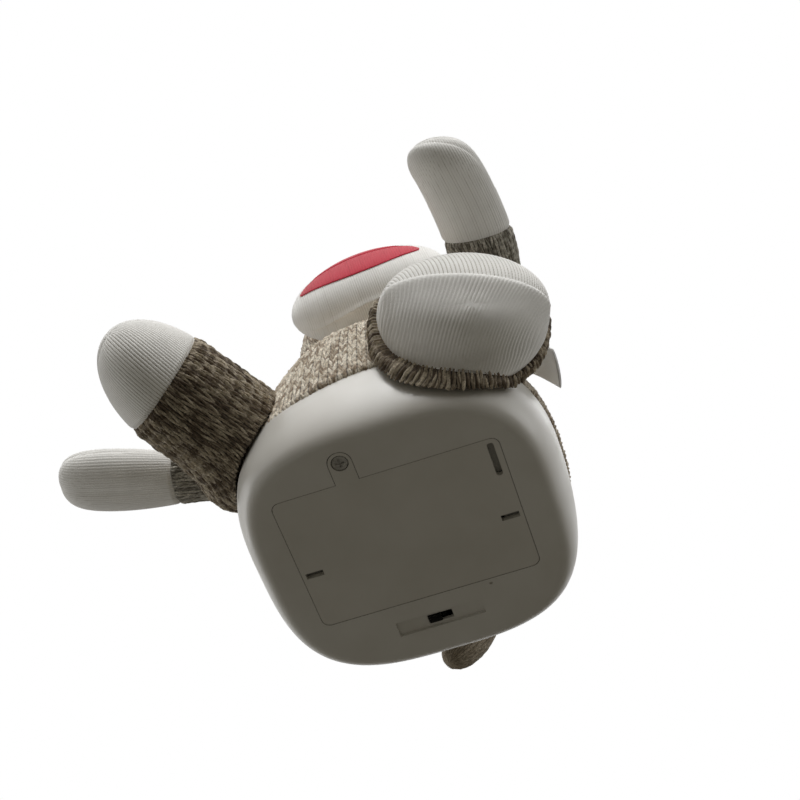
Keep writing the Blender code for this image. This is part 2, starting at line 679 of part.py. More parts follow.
def battery_cells():
    """Three AA cells, side by side."""
    half = CELL_LENGTH / 2
    profile = (
        (0.0, half + NUB_LENGTH),
        (NUB_RADIUS, half + NUB_LENGTH),
        (NUB_RADIUS, half),
        (CELL_RADIUS - CELL_EDGE, half),
        (CELL_RADIUS, half - CELL_EDGE),
        (CELL_RADIUS, -half + CELL_EDGE),
        (CELL_RADIUS - CELL_EDGE, -half),
        (0.0, -half),
    )
    for number in range(CELL_COUNT):
        way = cell_way(number)
        place = (way * (CELL_SLACK - NUB_LENGTH / 2), cell_place(number), CELL_Z)
        cell = turned(f"battery_cell_{number + 1}", profile, place, CELL_WRAP, axis="X", steps=20)
        if way < 0:
            cell.rotation_euler = (0.0, -pi / 2, 0.0)


def contact_plates():
    """Thin plates at the two ends of the bay."""
    deep = CELL_PITCH * CELL_COUNT / 2 - RUN_GAP
    for name, side in (("contact_plate_left", 1), ("contact_plate_right", -1)):
        outer = side * (BAY_LENGTH / 2 - SEAT_GAP)
        inner = outer - side * CONTACT_THICK
        low = (min(inner, outer), DOOR_CENTRE_Y - deep, CELL_Z - CONTACT_HEIGHT / 2)
        box(name, low, (max(inner, outer), DOOR_CENTRE_Y + deep, CELL_Z + CONTACT_HEIGHT / 2), SPRING_STEEL)


def contact_springs():
    """Conical coil at each cell's flat end, one unbroken wire."""
    for number in range(CELL_COUNT):
        way = cell_way(number)
        flat_end = way * (CELL_SLACK - NUB_LENGTH / 2) - way * CELL_LENGTH / 2
        plate = -way * (BAY_LENGTH / 2 - SEAT_GAP - CONTACT_THICK)
        start = plate + way * (SPRING_WIRE + SEAT_GAP)
        end = flat_end - way * (SPRING_WIRE + SEAT_GAP)
        total = SPRING_TURNS * SPRING_POINTS
        points = []
        for step in range(total + 1):
            share = step / total
            angle = 2 * pi * SPRING_TURNS * share
            radius = SPRING_RADIUS + (SPRING_TIP_RADIUS - SPRING_RADIUS) * share
            x = start + (end - start) * share
            points.append((x, cell_place(number) + radius * cos(angle), CELL_Z + radius * sin(angle)))
        wire(f"contact_spring_{number + 1}", points, SPRING_WIRE, SPRING_STEEL, 1)


def wire(name, points, radius, finish, resolution=2):
    """Round wire through points, with filled caps."""
    curve = bpy.data.curves.new(name, "CURVE")
    curve.dimensions = "3D"
    curve.bevel_depth = radius
    curve.bevel_resolution = resolution
    curve.use_fill_caps = True
    line = curve.splines.new("POLY")
    line.points.add(len(points) - 1)
    for point, place in zip(line.points, points):
        point.co = (*place, 1.0)
    made = bpy.data.objects.new(name, curve)
    curve.materials.append(finish)
    PARTS.objects.link(made)
    return made


def switch_case():
    """Open-bottomed case over the slot, holding the knob's foot."""
    half, deep = CASE_WIDTH / 2, CASE_DEPTH / 2
    top = LIP_BOTTOM + CASE_HEIGHT
    case_low = (-half, SWITCH_Y - deep, LIP_BOTTOM)
    case = box("switch_case", case_low, (half, SWITCH_Y + deep, top), BLACK_PLASTIC)
    half, deep = half - CASE_WALL, deep - CASE_WALL
    cut(case, box("case_room", (-half, SWITCH_Y - deep, 0.0), (half, SWITCH_Y + deep, top - CASE_WALL)))


def switch_knob():
    """Knob in the slot with its wider foot inside the case, at its off end."""
    x = -KNOB_TRAVEL / 2
    half, deep = KNOB_WIDTH / 2, KNOB_DEPTH / 2
    foot = FLOOR + 2 * SEAT_GAP
    top = foot + KNOB_FOOT_THICK
    knob_low = (x - half, SWITCH_Y - deep, KNOB_SHY)
    knob = box("switch_knob", knob_low, (x + half, SWITCH_Y + deep, top), BLACK_PLASTIC)
    half, deep = KNOB_FOOT_WIDTH / 2, KNOB_FOOT_DEPTH / 2
    join(knob, box("knob_foot", (x - half, SWITCH_Y - deep, foot), (x + half, SWITCH_Y + deep, top)))
    return move_origin(knob, (x, SWITCH_Y, FLOOR))


def base_deck():
    """Plate inside the rim that carries the works."""
    inset = SHELL_WALL + SOFT_GAP
    plan = (BASE_HALF_WIDTH - inset, BASE_HALF_DEPTH - inset, BASE_CENTRE_Y)
    rings = [flat_oval(*plan, height, RIM_PLAN_POWER, BOWL_POINTS) for height in (DECK_BOTTOM, DECK_TOP)]
    deck = loft("base_deck", rings, WHITE_SHELL)
    for number, (x, y) in enumerate(POST_PLACES, 1):
        low = (x, y, DECK_BOTTOM - OVERRUN)
        cut(deck, rod(f"deck_hole_{number}", low, (x, y, DECK_TOP + OVERRUN), DECK_SCREW_SHANK + RUN_GAP))
        bore = (x, y, DECK_TOP - DECK_COUNTERBORE)
        cut(deck, rod(f"deck_bore_{number}", bore, (x, y, DECK_TOP + OVERRUN), DECK_SCREW_HEAD + RUN_GAP))
    x, y = LEAD_PLACE
    cut(deck, rod("lead_hole", (x, y, DECK_BOTTOM - OVERRUN), (x, y, DECK_TOP + OVERRUN), DECK_HOLE))


def deck_screws():
    for number, (x, y) in enumerate(POST_PLACES, 1):
        seat = DECK_TOP - DECK_COUNTERBORE + SEAT_GAP
        top = (x, y, seat + DECK_SCREW_HEAD_HEIGHT)
        screw = rod(f"deck_screw_{number}", (x, y, seat), top, DECK_SCREW_HEAD, STEEL, sides=16)
        shank_top = (x, y, seat + DECK_SCREW_HEAD_HEIGHT / 2)
        end = (x, y, seat - DECK_SCREW_LENGTH)
        join(screw, rod(f"deck_shank_{number}", end, shank_top, DECK_SCREW_SHANK, sides=12))


def circuit_board():
    """Board on the tray's top with its chip."""
    low = (BOARD_X - BOARD_WIDTH / 2, DOOR_CENTRE_Y - BOARD_DEPTH / 2, TRAY_TOP + SEAT_GAP)
    high = (BOARD_X + BOARD_WIDTH / 2, DOOR_CENTRE_Y + BOARD_DEPTH / 2, TRAY_TOP + SEAT_GAP + BOARD_THICK)
    board = box("circuit_board", low, high, BOARD_GREEN)
    half = CHIP_SIZE / 2
    chip_low = (BOARD_X - half, DOOR_CENTRE_Y - half, high[2] - BOARD_THICK / 2)
    chip_high = (BOARD_X + half, DOOR_CENTRE_Y + half, high[2] + CHIP_HEIGHT)
    join(board, box("chip", chip_low, chip_high, rounding=half / 2))


def speaker():
    """Loudspeaker lying on the tray, its magnet upwards."""
    rim = SPEAKER_RIM
    profile = (
        (0.0, SPEAKER_HEIGHT),
        (SPEAKER_MAGNET, SPEAKER_HEIGHT),
        (SPEAKER_MAGNET, SPEAKER_HEIGHT / 2),
        (SPEAKER_RADIUS - rim, rim),
        (SPEAKER_RADIUS, rim),
        (SPEAKER_RADIUS, 0.0),
        (0.0, 0.0),
    )
    turned("speaker", profile, (SPEAKER_X, DOOR_CENTRE_Y, TRAY_TOP + SEAT_GAP), BLACK_PLASTIC, steps=28)


MOTOR_Z = WORKS_FLOOR + MOTOR_LIFT + MOTOR_RADIUS
PINION_AT = (MOTOR_X, MOTOR_Z)
FIRST_SPREAD = GEAR_MODULE * (PINION_TEETH + IDLER_TEETH) / 2
IDLER_AT = (PINION_AT[0] + FIRST_SPREAD * cos(IDLER_TURN), PINION_AT[1] + FIRST_SPREAD * sin(IDLER_TURN))
SECOND_SPREAD = GEAR_MODULE * (IDLER_PINION_TEETH + WEIGHT_TEETH) / 2
WEIGHT_AT = (IDLER_AT[0] + SECOND_SPREAD * cos(WEIGHT_TURN), IDLER_AT[1] + SECOND_SPREAD * sin(WEIGHT_TURN))


def gear(name, place, middle_y, teeth, phase, finish=None, bore=0.0, face=GEAR_FACE):
    """Spur gear about Y: straight-flanked teeth round a disc, one tooth on the phase angle."""
    pitch_radius = GEAR_MODULE * teeth / 2
    root = pitch_radius - DEDENDUM_SHARE * GEAR_MODULE
    tip = pitch_radius + ADDENDUM_SHARE * GEAR_MODULE
    pitch = 2 * pi / teeth
    flanks = (
        (-ROOT_FLANK_SHARE, root),
        (-TIP_FLANK_SHARE, tip),
        (TIP_FLANK_SHARE, tip),
        (ROOT_FLANK_SHARE, root),
    )
    outline = []
    for tooth in range(teeth):
        for share, radius in flanks:
            angle = phase + (tooth + share) * pitch
            outline.append((place[0] + radius * cos(angle), place[1] + radius * sin(angle)))
    form = bmesh.new()
    rows = []
    for y in (middle_y - face / 2, middle_y + face / 2):
        rows.append([form.verts.new((x, y, z)) for x, z in outline])
    form.faces.new(rows[0])
    form.faces.new(rows[1])
    for i in range(len(outline)):
        j = (i + 1) % len(outline)
        form.faces.new((rows[0][i], rows[0][j], rows[1][j], rows[1][i]))
    made = add_object(name, mesh_from_bmesh(name, form), finish)
    if bore:
        start = (place[0], middle_y - face, place[1])
        cut(made, rod(name + "_bore", start, (place[0], middle_y + face, place[1]), bore, sides=16))
    return made


def gear_train():
    """Pinion, compound idler and weight gear, their teeth in mesh at rest."""
    toward_idler = IDLER_TURN
    pinion = gear("motor_pinion", PINION_AT, IDLER_Y, PINION_TEETH, toward_idler, GEAR_PLASTIC)
    front = (PINION_AT[0], IDLER_Y - GEAR_FACE / 2 + SEAT_GAP, PINION_AT[1])
    back = (PINION_AT[0], REAR_PLATE_Y + PLATE_THICK + SEAT_GAP, PINION_AT[1])
    join(pinion, rod("motor_shaft", front, back, MOTOR_SHAFT, sides=16))
    move_origin(pinion, (PINION_AT[0], IDLER_Y, PINION_AT[1]))
    idler_phase = toward_idler + pi + pi / IDLER_TEETH
    idler = gear("idler_gear", IDLER_AT, IDLER_Y, IDLER_TEETH, idler_phase, GEAR_PLASTIC)
    overlap_face = IDLER_Y - WEIGHT_GEAR_Y + GEAR_FACE / 2
    small_middle = WEIGHT_GEAR_Y - GEAR_FACE / 2 + overlap_face / 2
    small = gear("idler_small", IDLER_AT, small_middle, IDLER_PINION_TEETH, WEIGHT_TURN, face=overlap_face)
    join(idler, small)
    bore = AXLE_RADIUS + AXLE_GAP
    front = (IDLER_AT[0], FRONT_PLATE_Y, IDLER_AT[1])
    cut(idler, rod("idler_bore", front, (IDLER_AT[0], REAR_PLATE_Y, IDLER_AT[1]), bore, sides=16))
    move_origin(idler, (IDLER_AT[0], IDLER_Y, IDLER_AT[1]))
    weight_phase = WEIGHT_TURN + pi + pi / WEIGHT_TEETH
    wheel = gear("weight_gear", WEIGHT_AT, WEIGHT_GEAR_Y, WEIGHT_TEETH, weight_phase, GEAR_PLASTIC)
    hub_front = (WEIGHT_AT[0], SHAKER_Y - SHAKER_THICK / 2 - SEAT_GAP, WEIGHT_AT[1])
    hub_back = (WEIGHT_AT[0], WEIGHT_GEAR_Y, WEIGHT_AT[1])
    join(wheel, rod("weight_hub", hub_front, hub_back, HUB_RADIUS, sides=16))
    back = (WEIGHT_AT[0], REAR_PLATE_Y, WEIGHT_AT[1])
    cut(wheel, rod("weight_bore", (WEIGHT_AT[0], FRONT_PLATE_Y, WEIGHT_AT[1]), back, bore, sides=16))
    move_origin(wheel, (WEIGHT_AT[0], WEIGHT_GEAR_Y, WEIGHT_AT[1]))


def shaker_weight():
    """Half disc of steel on the weight gear's hub, hanging down at rest."""
    x, z = WEIGHT_AT
    front, back = SHAKER_Y - SHAKER_THICK / 2, SHAKER_Y + SHAKER_THICK / 2
    weight = rod("shaker_weight", (x, front, z), (x, back, z), SHAKER_RADIUS, STEEL, sides=32)
    wide = SHAKER_RADIUS + OVERRUN
    crown = z + HUB_RADIUS + SHELL_WALL
    cut(weight, box("weight_top", (x - wide, front - OVERRUN, crown), (x + wide, back + OVERRUN, z + wide)))
    cheek = HUB_RADIUS + SHELL_WALL
    for side in (-1, 1):
        ends = sorted((x + side * cheek, x + side * wide))
        low = (ends[0], front - OVERRUN, z)
        cut(weight, box(f"weight_side_{side}", low, (ends[1], back + OVERRUN, crown + OVERRUN)))
    bore = HUB_RADIUS + SEAT_GAP
    cut(weight, rod("weight_seat", (x, front - OVERRUN, z), (x, back + OVERRUN, z), bore, sides=16))
    return move_origin(weight, (x, SHAKER_Y, z))


def gear_frame():
    """Two plates, their axles and the motor."""
    top = COVER_TOP - COVER_WALL - OVERRUN
    for name, y in (("gear_frame_front", FRONT_PLATE_Y), ("gear_frame_rear", REAR_PLATE_Y)):
        low = (-PLATE_HALF_WIDTH, y, WORKS_FLOOR)
        plate = box(name, low, (PLATE_HALF_WIDTH, y + PLATE_THICK, top), GREY_PLASTIC)
        for label, (x, z) in (("idler", IDLER_AT), ("weight", WEIGHT_AT)):
            start, end = (x, y - OVERRUN, z), (x, y + PLATE_THICK + OVERRUN, z)
            hole = rod(f"{name}_{label}_hole", start, end, AXLE_RADIUS + SEAT_GAP)
            cut(plate, hole)
        if y > 0:
            x, z = PINION_AT
            start = (x, y - OVERRUN, z)
            hole = rod("motor_nose_hole", start, (x, y + PLATE_THICK + OVERRUN, z), MOTOR_SHAFT + SEAT_GAP)
            cut(plate, hole)
    for name, (x, z) in (("idler_axle", IDLER_AT), ("weight_axle", WEIGHT_AT)):
        rod(name, (x, FRONT_PLATE_Y, z), (x, REAR_PLATE_Y + PLATE_THICK, z), AXLE_RADIUS, STEEL, sides=16)


def motor():
    """Small motor behind the rear plate, on a cradle block."""
    x, z = PINION_AT
    front = REAR_PLATE_Y + PLATE_THICK + SEAT_GAP
    can = rod("motor", (x, front, z), (x, front + MOTOR_LENGTH, z), MOTOR_RADIUS, STEEL, sides=28)
    low = (x - CRADLE_HALF_WIDTH, front + OVERRUN, WORKS_FLOOR)
    high = (x + CRADLE_HALF_WIDTH, front + MOTOR_LENGTH - OVERRUN, z - MOTOR_RADIUS / 2)
    join(can, box("motor_cradle", low, high))
    end = (x, front + MOTOR_SOCKET, z)
    cut(can, rod("motor_socket", (x, front - OVERRUN, z), end, MOTOR_SHAFT + SEAT_GAP, sides=16))


def cover_boxes(name, spread, finish=None):
    """Stepped box of the cover and its two feet, grown on every side by a spread."""
    wide = COVER_HALF_WIDTH + spread
    low = (-wide, COVER_FRONT - spread, WORKS_FLOOR - spread)
    whole = box(name, low, (wide, COVER_STEP + spread, COVER_TOP + spread), finish)
    back = (wide, COVER_BACK + spread, COVER_LOW_TOP + spread)
    join(whole, box(name + "_low", (-wide, COVER_STEP - COVER_WALL - spread, low[2]), back))
    return whole


def mechanism_cover():
    """Cover over the gear train and motor, screwed to the deck by two feet."""
    cover = cover_boxes("mechanism_cover", 0.0, GREY_PLASTIC)
    reach = COVER_HALF_WIDTH + COVER_FOOT
    foot_low = (-reach, COVER_FOOT_Y - COVER_FOOT_DEPTH / 2, WORKS_FLOOR)
    foot_high = (reach, COVER_FOOT_Y + COVER_FOOT_DEPTH / 2, WORKS_FLOOR + COVER_FOOT_THICK)
    join(cover, box("cover_feet", foot_low, foot_high))
    wide = COVER_HALF_WIDTH - COVER_WALL
    tall_low = (-wide, COVER_FRONT + COVER_WALL, WORKS_FLOOR - OVERRUN)
    cut(cover, box("cover_room", tall_low, (wide, COVER_STEP - COVER_WALL, COVER_TOP - COVER_WALL)))
    low_high = (wide, COVER_BACK - COVER_WALL, COVER_LOW_TOP - COVER_WALL)
    cut(cover, box("cover_room_low", (-wide, COVER_STEP - 2 * COVER_WALL, WORKS_FLOOR - OVERRUN), low_high))
    for number, side in ((1, 1), (2, -1)):
        x = side * (COVER_HALF_WIDTH + COVER_FOOT / 2)
        start = (x, COVER_FOOT_Y, WORKS_FLOOR - OVERRUN)
        end = (x, COVER_FOOT_Y, WORKS_FLOOR + COVER_FOOT_THICK + OVERRUN)
        cut(cover, rod(f"foot_hole_{number}", start, end, DECK_SCREW_SHANK + RUN_GAP))
        seat = WORKS_FLOOR + COVER_FOOT_THICK + SEAT_GAP
        head_top = (x, COVER_FOOT_Y, seat + DECK_SCREW_HEAD_HEIGHT)
        head_low = (x, COVER_FOOT_Y, seat)
        screw = rod(f"cover_screw_{number}", head_low, head_top, DECK_SCREW_HEAD, STEEL, sides=16)
        tip = (x, COVER_FOOT_Y, seat - COVER_SCREW_LENGTH)
        middle = (x, COVER_FOOT_Y, seat + DECK_SCREW_HEAD_HEIGHT / 2)
        join(screw, rod(f"cover_shank_{number}", tip, middle, DECK_SCREW_SHANK, sides=12))
        hole_low = (x, COVER_FOOT_Y, DECK_BOTTOM - OVERRUN)
        hole_top = (x, COVER_FOOT_Y, DECK_TOP + OVERRUN)
        pilot = rod(f"pilot_{number}", hole_low, hole_top, DECK_SCREW_SHANK + RUN_GAP)
        cut(bpy.data.objects["base_deck"], pilot)


def motor_leads():
    """Two leads from the board, up through the deck's hole to the motor's rear end."""
    x, y = LEAD_PLACE
    start_z = TRAY_TOP + SEAT_GAP + BOARD_THICK + SEAT_GAP + LEAD_RADIUS
    motor_end = REAR_PLATE_Y + PLATE_THICK + SEAT_GAP + MOTOR_LENGTH + SEAT_GAP
    board_end = DOOR_CENTRE_Y + BOARD_DEPTH / 2
    leads = (
        ("motor_lead_red", 1, LEAD_LIFTS[0], WIRE_RED),
        ("motor_lead_black", -1, LEAD_LIFTS[1], WIRE_BLACK),
    )
    for name, side, lift, finish in leads:
        across = x + side * LEAD_SPACING / 2
        inner = MOTOR_X + side * TERMINAL_SPREAD
        high = MOTOR_Z - TERMINAL_DROP + side * LEAD_SPACING
        back = motor_end + LEAD_RADIUS
        points = (
            (across, board_end - LEAD_CORNER, start_z),
            (across, y - LEAD_CORNER, start_z),
            (across, y, start_z + LEAD_CORNER / 2),
            (across, y, DECK_TOP),
            (across, back - LEAD_CORNER / 2, DECK_TOP + lift - LEAD_CORNER),
            (across, back, DECK_TOP + lift),
            ((across + inner) / 2, back, high),
            (inner, back, high + LEAD_CORNER / 2),
        )
        wire(name, points, LEAD_RADIUS, finish)


def torso_rings(spread=0.0):
    """Courses of the body, from the hem to the neck, grown outwards by a spread."""
    rings = []
    bottom = RIM_HEIGHT + SEAT_GAP
    for rise, width, depth, lean in TORSO_COURSE_SHARES:
        power = TORSO_START_POWER + (TORSO_END_POWER - TORSO_START_POWER) * rise
        half_width = (BASE_HALF_WIDTH + HEM_PROUD) * width + spread
        half_depth = (BASE_HALF_DEPTH + HEM_PROUD) * depth + spread
        middle = BASE_CENTRE_Y + (HEAD_Y - BASE_CENTRE_Y) * lean
        height = bottom + (TORSO_TOP - bottom) * rise
        rings.append(flat_oval(half_width, half_depth, middle, height, power, TORSO_POINTS))
    return rings


def body_sock():
    """Knit body over the works, hemmed at the bowl's rim, with room for the cover and the neck."""
    torso = loft("body_sock", torso_rings(), HEATHER_KNIT)
    cut(torso, cover_boxes("cover_pocket", POCKET_GAP))
    reach = COVER_HALF_WIDTH + COVER_FOOT + POCKET_GAP
    deep = COVER_FOOT_DEPTH / 2 + POCKET_GAP
    low = (-reach, COVER_FOOT_Y - deep, DECK_TOP)
    head = WORKS_FLOOR + COVER_FOOT_THICK + SEAT_GAP + DECK_SCREW_HEAD_HEIGHT + POCKET_GAP
    cut(torso, box("feet_pocket", low, (reach, COVER_FOOT_Y + deep, head)))
    neck_low = (HEAD_X, HEAD_Y, NECK_BOTTOM - POCKET_GAP)
    cut(torso, rod("neck_pocket", neck_low, (HEAD_X, HEAD_Y, NECK_TOP + OVERRUN), NECK_RADIUS + POCKET_GAP))
    return torso


def limb_frame(joint, tip, wide):
    """Unit vectors along the limb, across its wide side and across its narrow side, and its length."""
    joint, tip = np.array(joint), np.array(tip)
    along = tip - joint
    length = np.linalg.norm(along)
    along = along / length
    across = np.array(wide) - along * np.dot(wide, along)
    across = across / np.linalg.norm(across)
    return joint, along, across, np.cross(along, across), length


def limb_centre(frame, sizes, share):
    """Point of the limb's centre line, bowed as half a wave from joint to tip."""
    joint, along, across, thin, length = frame
    wave = sin(pi * share)
    return joint + along * length * share + thin * sizes["bow"] * wave + across * sizes["side_bow"] * wave


def limb_ring(frame, sizes, form, place, spread=0.0):
    """Oval section: it swells from the root ball to its full size, then rounds off to the tip."""
    _, _, across, thin, _ = frame
    (start, full, _), power = form
    if place <= full:
        swell = sin((place - start) / (full - start) * pi / 2)
        wide = sizes["ball"] + (sizes["wide"] - sizes["ball"]) * swell
        narrow = sizes["ball"] + (sizes["narrow"] - sizes["ball"]) * swell
    else:
        past = (place - full) / (1 - full)
        scale = (1 - past**power) ** 0.5
        wide, narrow = sizes["wide"] * scale, sizes["narrow"] * scale
    centre = limb_centre(frame, sizes, place)
    return oval(centre, across * (wide + spread), thin * (narrow + spread), 2.0, LIMB_POINTS)


def ball_rings(frame, sizes, spread=0.0):
    """Back of the root ball, three rings before the joint's middle."""
    joint, along, across, thin, _ = frame
    radius = sizes["ball"] + spread
    rings = []
    for turn in (radians(-62.0), radians(-35.0), radians(-8.0)):
        centre = joint + along * radius * sin(turn)
        half = radius * cos(turn)
        rings.append(oval(centre, across * half, thin * half, 2.0, LIMB_POINTS))
    return rings, joint - along * radius


def limb(names, joint, tip, wide, sizes, form, seam_share, swing, over_bowl=False):
    """Knit limb with its pale end, and the room that its swing needs in the body."""
    frame = limb_frame(joint, tip, wide)
    half_gap = SEAT_GAP / frame[4] / 2
    rings, pole = ball_rings(frame, sizes)
    (start, _, end), _ = form
    knit_places = np.linspace(start, seam_share - half_gap, KNIT_RINGS)
    rings += [limb_ring(frame, sizes, form, place) for place in knit_places]
    knit = loft(names[0], rings, HEATHER_KNIT, poles=(pole, None))
    seam = seam_share + half_gap
    turns = np.linspace(0.0, pi / 2, PALE_RINGS)
    pale_places = seam + (end - seam) * np.sin(turns)
    ends = [limb_ring(frame, sizes, form, place) for place in pale_places]
    pale = loft(names[1], ends, WHITE_KNIT, poles=(None, np.array(tip)))
    places = (*knit_places, *pale_places)
    room = swing_room(names[0] + "_room", frame, sizes, form, places, swing)
    if over_bowl:
        for number, angle in enumerate(swing_angles(swing[1])):
            bowl = bowl_room(f"{names[0]}_bowl_{number}", joint, -angle)
            cut(knit, bowl)
            cut(pale, bowl)
    for thing in (knit, pale):
        move_origin(thing, joint)
    return room


def swing_angles(limits):
    return [limits[0] + (limits[1] - limits[0]) * step / (SWING_STEPS - 1) for step in range(SWING_STEPS)]


def bowl_room(name, joint, angle):
    """Bowl and hem grown by the soft gap, turned about a hip's upright axis."""
    turn = np.array(Matrix.Rotation(angle, 3, "Z"))
    heights = [RIM_HEIGHT * share for share in BOWL_RING_SHARES[1:]]
    rings = [bowl_ring(height, -SWING_GAP) for height in heights]
    rings.append(rings[-1] + np.array((0.0, 0.0, SWING_GAP)))
    joint = np.array(joint)
    return loft(name, [(ring[::2] - joint) @ turn.T + joint for ring in rings])


def swing_room(name, frame, sizes, form, places, swing):
    """Hull of the limb's root at every turn of its swing, grown by the soft gap."""
    joint, along, across, thin, length = frame
    axis, limits = swing
    rings, pole = ball_rings(frame, sizes, SOFT_GAP)
    points = [np.array([pole - along * SOFT_GAP]), *rings]
    for place in places:
        if length * place < SWING_REACH:
            points.append(limb_ring(frame, sizes, form, place, SOFT_GAP))
    points = np.concatenate(points)
    form = bmesh.new()
    for angle in swing_angles(limits):
        turn = np.array(Matrix.Rotation(angle, 3, Vector(axis)))
        for point in (points - joint) @ turn.T + joint:
            form.verts.new(point)
    hull = bmesh.ops.convex_hull(form, input=form.verts)
    spare = hull["geom_interior"] + hull["geom_unused"]
    loose = {item for item in spare if isinstance(item, bmesh.types.BMVert)}
    bmesh.ops.delete(form, geom=list(loose), context="VERTS")
    return add_object(name, mesh_from_bmesh(name, form))


UP = (0.0, 0.0, 1.0)
ACROSS = (1.0, 0.0, 0.0)
BACKWARD = (0.0, 1.0, 0.0)


def limbs(torso):
    """Two legs and two arms, each cut out of the body's side."""
    leg, arm = (LEG_SHARES, LEG_TAPER_POWER), (ARM_SHARES, ARM_TAPER_POWER)
    hip, right, left = (UP, HIP_SWING), (BACKWARD, RIGHT_ARM_SWING), (UP, LEFT_ARM_SWING)
    rooms = (
        limb(("right_leg_sock", "right_toe"), RIGHT_HIP, RIGHT_TOE, RIGHT_LEG_WIDE,
             RIGHT_LEG_SIZES, leg, RIGHT_LEG_SEAM_SHARE, hip, over_bowl=True),
        limb(("left_leg_sock", "left_toe"), LEFT_HIP, LEFT_TOE, LEFT_LEG_WIDE,
             LEFT_LEG_SIZES, leg, LEFT_LEG_SEAM_SHARE, hip, over_bowl=True),
        limb(("right_arm_sock", "right_hand"), RIGHT_SHOULDER, RIGHT_FINGERS, RIGHT_ARM_WIDE,
             RIGHT_ARM_SIZES, arm, RIGHT_ARM_SEAM_SHARE, right),
        limb(("left_arm_sock", "left_hand"), LEFT_SHOULDER, LEFT_FINGERS, LEFT_ARM_WIDE,
             LEFT_ARM_SIZES, arm, LEFT_ARM_SEAM_SHARE, left),
    )
    cut(torso, *rooms)


def head_half(height):
    """Share of the head's width and depth at a height."""
    return max(1 - ((height - HEAD_Z) / HEAD_HALF_HEIGHT) ** 2, 0.0) ** 0.5


def head_ring(height, spread=0.0):
    share = head_half(height)
    centre = (HEAD_X, HEAD_Y, height)
    across = (HEAD_HALF_WIDTH * share + spread, 0.0, 0.0)
    return oval(centre, across, (0.0, HEAD_HALF_DEPTH * share + spread, 0.0), 2.0, HEAD_POINTS)


def head_heights(low, high, count):
    """Heights spaced by equal turns round the head's side."""
    first = asin((low - HEAD_Z) / HEAD_HALF_HEIGHT)
    last = asin((high - HEAD_Z) / HEAD_HALF_HEIGHT)
    return [HEAD_Z + HEAD_HALF_HEIGHT * sin(first + (last - first) * i / (count - 1)) for i in range(count)]


def neck_ring(height, spread=0.0):
    half = NECK_RADIUS + spread
    return oval((HEAD_X, HEAD_Y, height), (half, 0.0, 0.0), (0.0, half, 0.0), 2.0, HEAD_POINTS)


def ellipsoid(name, centre, half, finish=None, tilt=0.0, count=28, rings=11):
    """Ellipsoid whose poles lie along X, tilted about the front to back axis."""
    turn = np.array(Matrix.Rotation(-tilt, 3, "Y"))
    made = []
    for step in range(1, rings + 1):
        angle = pi * step / (rings + 1)
        size = sin(angle)
        middle = (-half[0] * cos(angle), 0.0, 0.0)
        ring = oval(middle, (0.0, half[1] * size, 0.0), (0.0, 0.0, half[2] * size), 2.0, count)
        made.append(ring @ turn.T + np.array(centre))
    poles = [turn @ np.array((side * half[0], 0.0, 0.0)) + np.array(centre) for side in (-1, 1)]
    return loft(name, made, finish, poles)


def grown(half, spread):
    return tuple(size + spread for size in half)


def head():
    """Head with its crown, muzzle, lips, eyes and ears, all turning about the neck."""
    pivot = (HEAD_X, HEAD_Y, NECK_BOTTOM)
    low_heights = head_heights(NECK_TOP + SEAT_GAP, CROWN_LINE - SEAT_GAP / 2, HEAD_RINGS)
    rings = [neck_ring(NECK_BOTTOM), neck_ring(NECK_TOP)] + [head_ring(height) for height in low_heights]
    sock = loft("head_sock", rings, HEATHER_KNIT)
    top = HEAD_Z + HEAD_HALF_HEIGHT
    crown_heights = head_heights(CROWN_LINE + SEAT_GAP / 2, top - CROWN_TIP, CROWN_RINGS)
    crown_rings = [head_ring(height) for height in crown_heights]
    crown = loft("crown_cap", crown_rings, WHITE_KNIT, (None, (HEAD_X, HEAD_Y, top)))
    grown_rings = [neck_ring(NECK_BOTTOM, SEAT_GAP), neck_ring(NECK_TOP, SEAT_GAP)]
    grown_rings += [head_ring(height, SEAT_GAP) for height in low_heights]
    head_cutter = loft("head_grown", grown_rings)
    muzzle = ellipsoid("muzzle", MUZZLE_CENTRE, MUZZLE_HALF, WHITE_KNIT, MUZZLE_TILT)
    cut(muzzle, head_cutter)
    muzzle_cutter = ellipsoid("muzzle_grown", MUZZLE_CENTRE, grown(MUZZLE_HALF, SEAT_GAP), None, MUZZLE_TILT)
    lips = ellipsoid("lips", LIPS_CENTRE, LIPS_HALF, RED_CLOTH, MUZZLE_TILT, count=16, rings=9)
    cut(lips, muzzle_cutter)
    pieces = [sock, crown, muzzle, lips]
    for name, side in (("left_eye", 1), ("right_eye", -1)):
        x = HEAD_X + side * EYE_SPACING / 2
        share = head_half(EYE_HEIGHT)
        front = HEAD_Y - HEAD_HALF_DEPTH * share * (1 - ((x - HEAD_X) / HEAD_HALF_WIDTH / share) ** 2) ** 0.5
        half = (EYE_RADIUS, EYE_HALF_THICK, EYE_RADIUS)
        eye = ellipsoid(name, (x, front, EYE_HEIGHT), half, EYE_BLACK, count=16, rings=7)
        cut(eye, head_cutter)
        pieces.append(eye)
    for name, side in (("left_ear", 1), ("right_ear", -1)):
        centre = (HEAD_X + side * EAR_OUT, HEAD_Y + EAR_BACK, EAR_HEIGHT)
        half = (EAR_RADIUS, EAR_HALF_THICK, EAR_RADIUS)
        ear = ellipsoid(name, centre, half, HEATHER_KNIT, count=20, rings=9)
        cut(ear, head_cutter)
        pieces.append(ear)
    for piece in pieces:
        move_origin(piece, pivot)


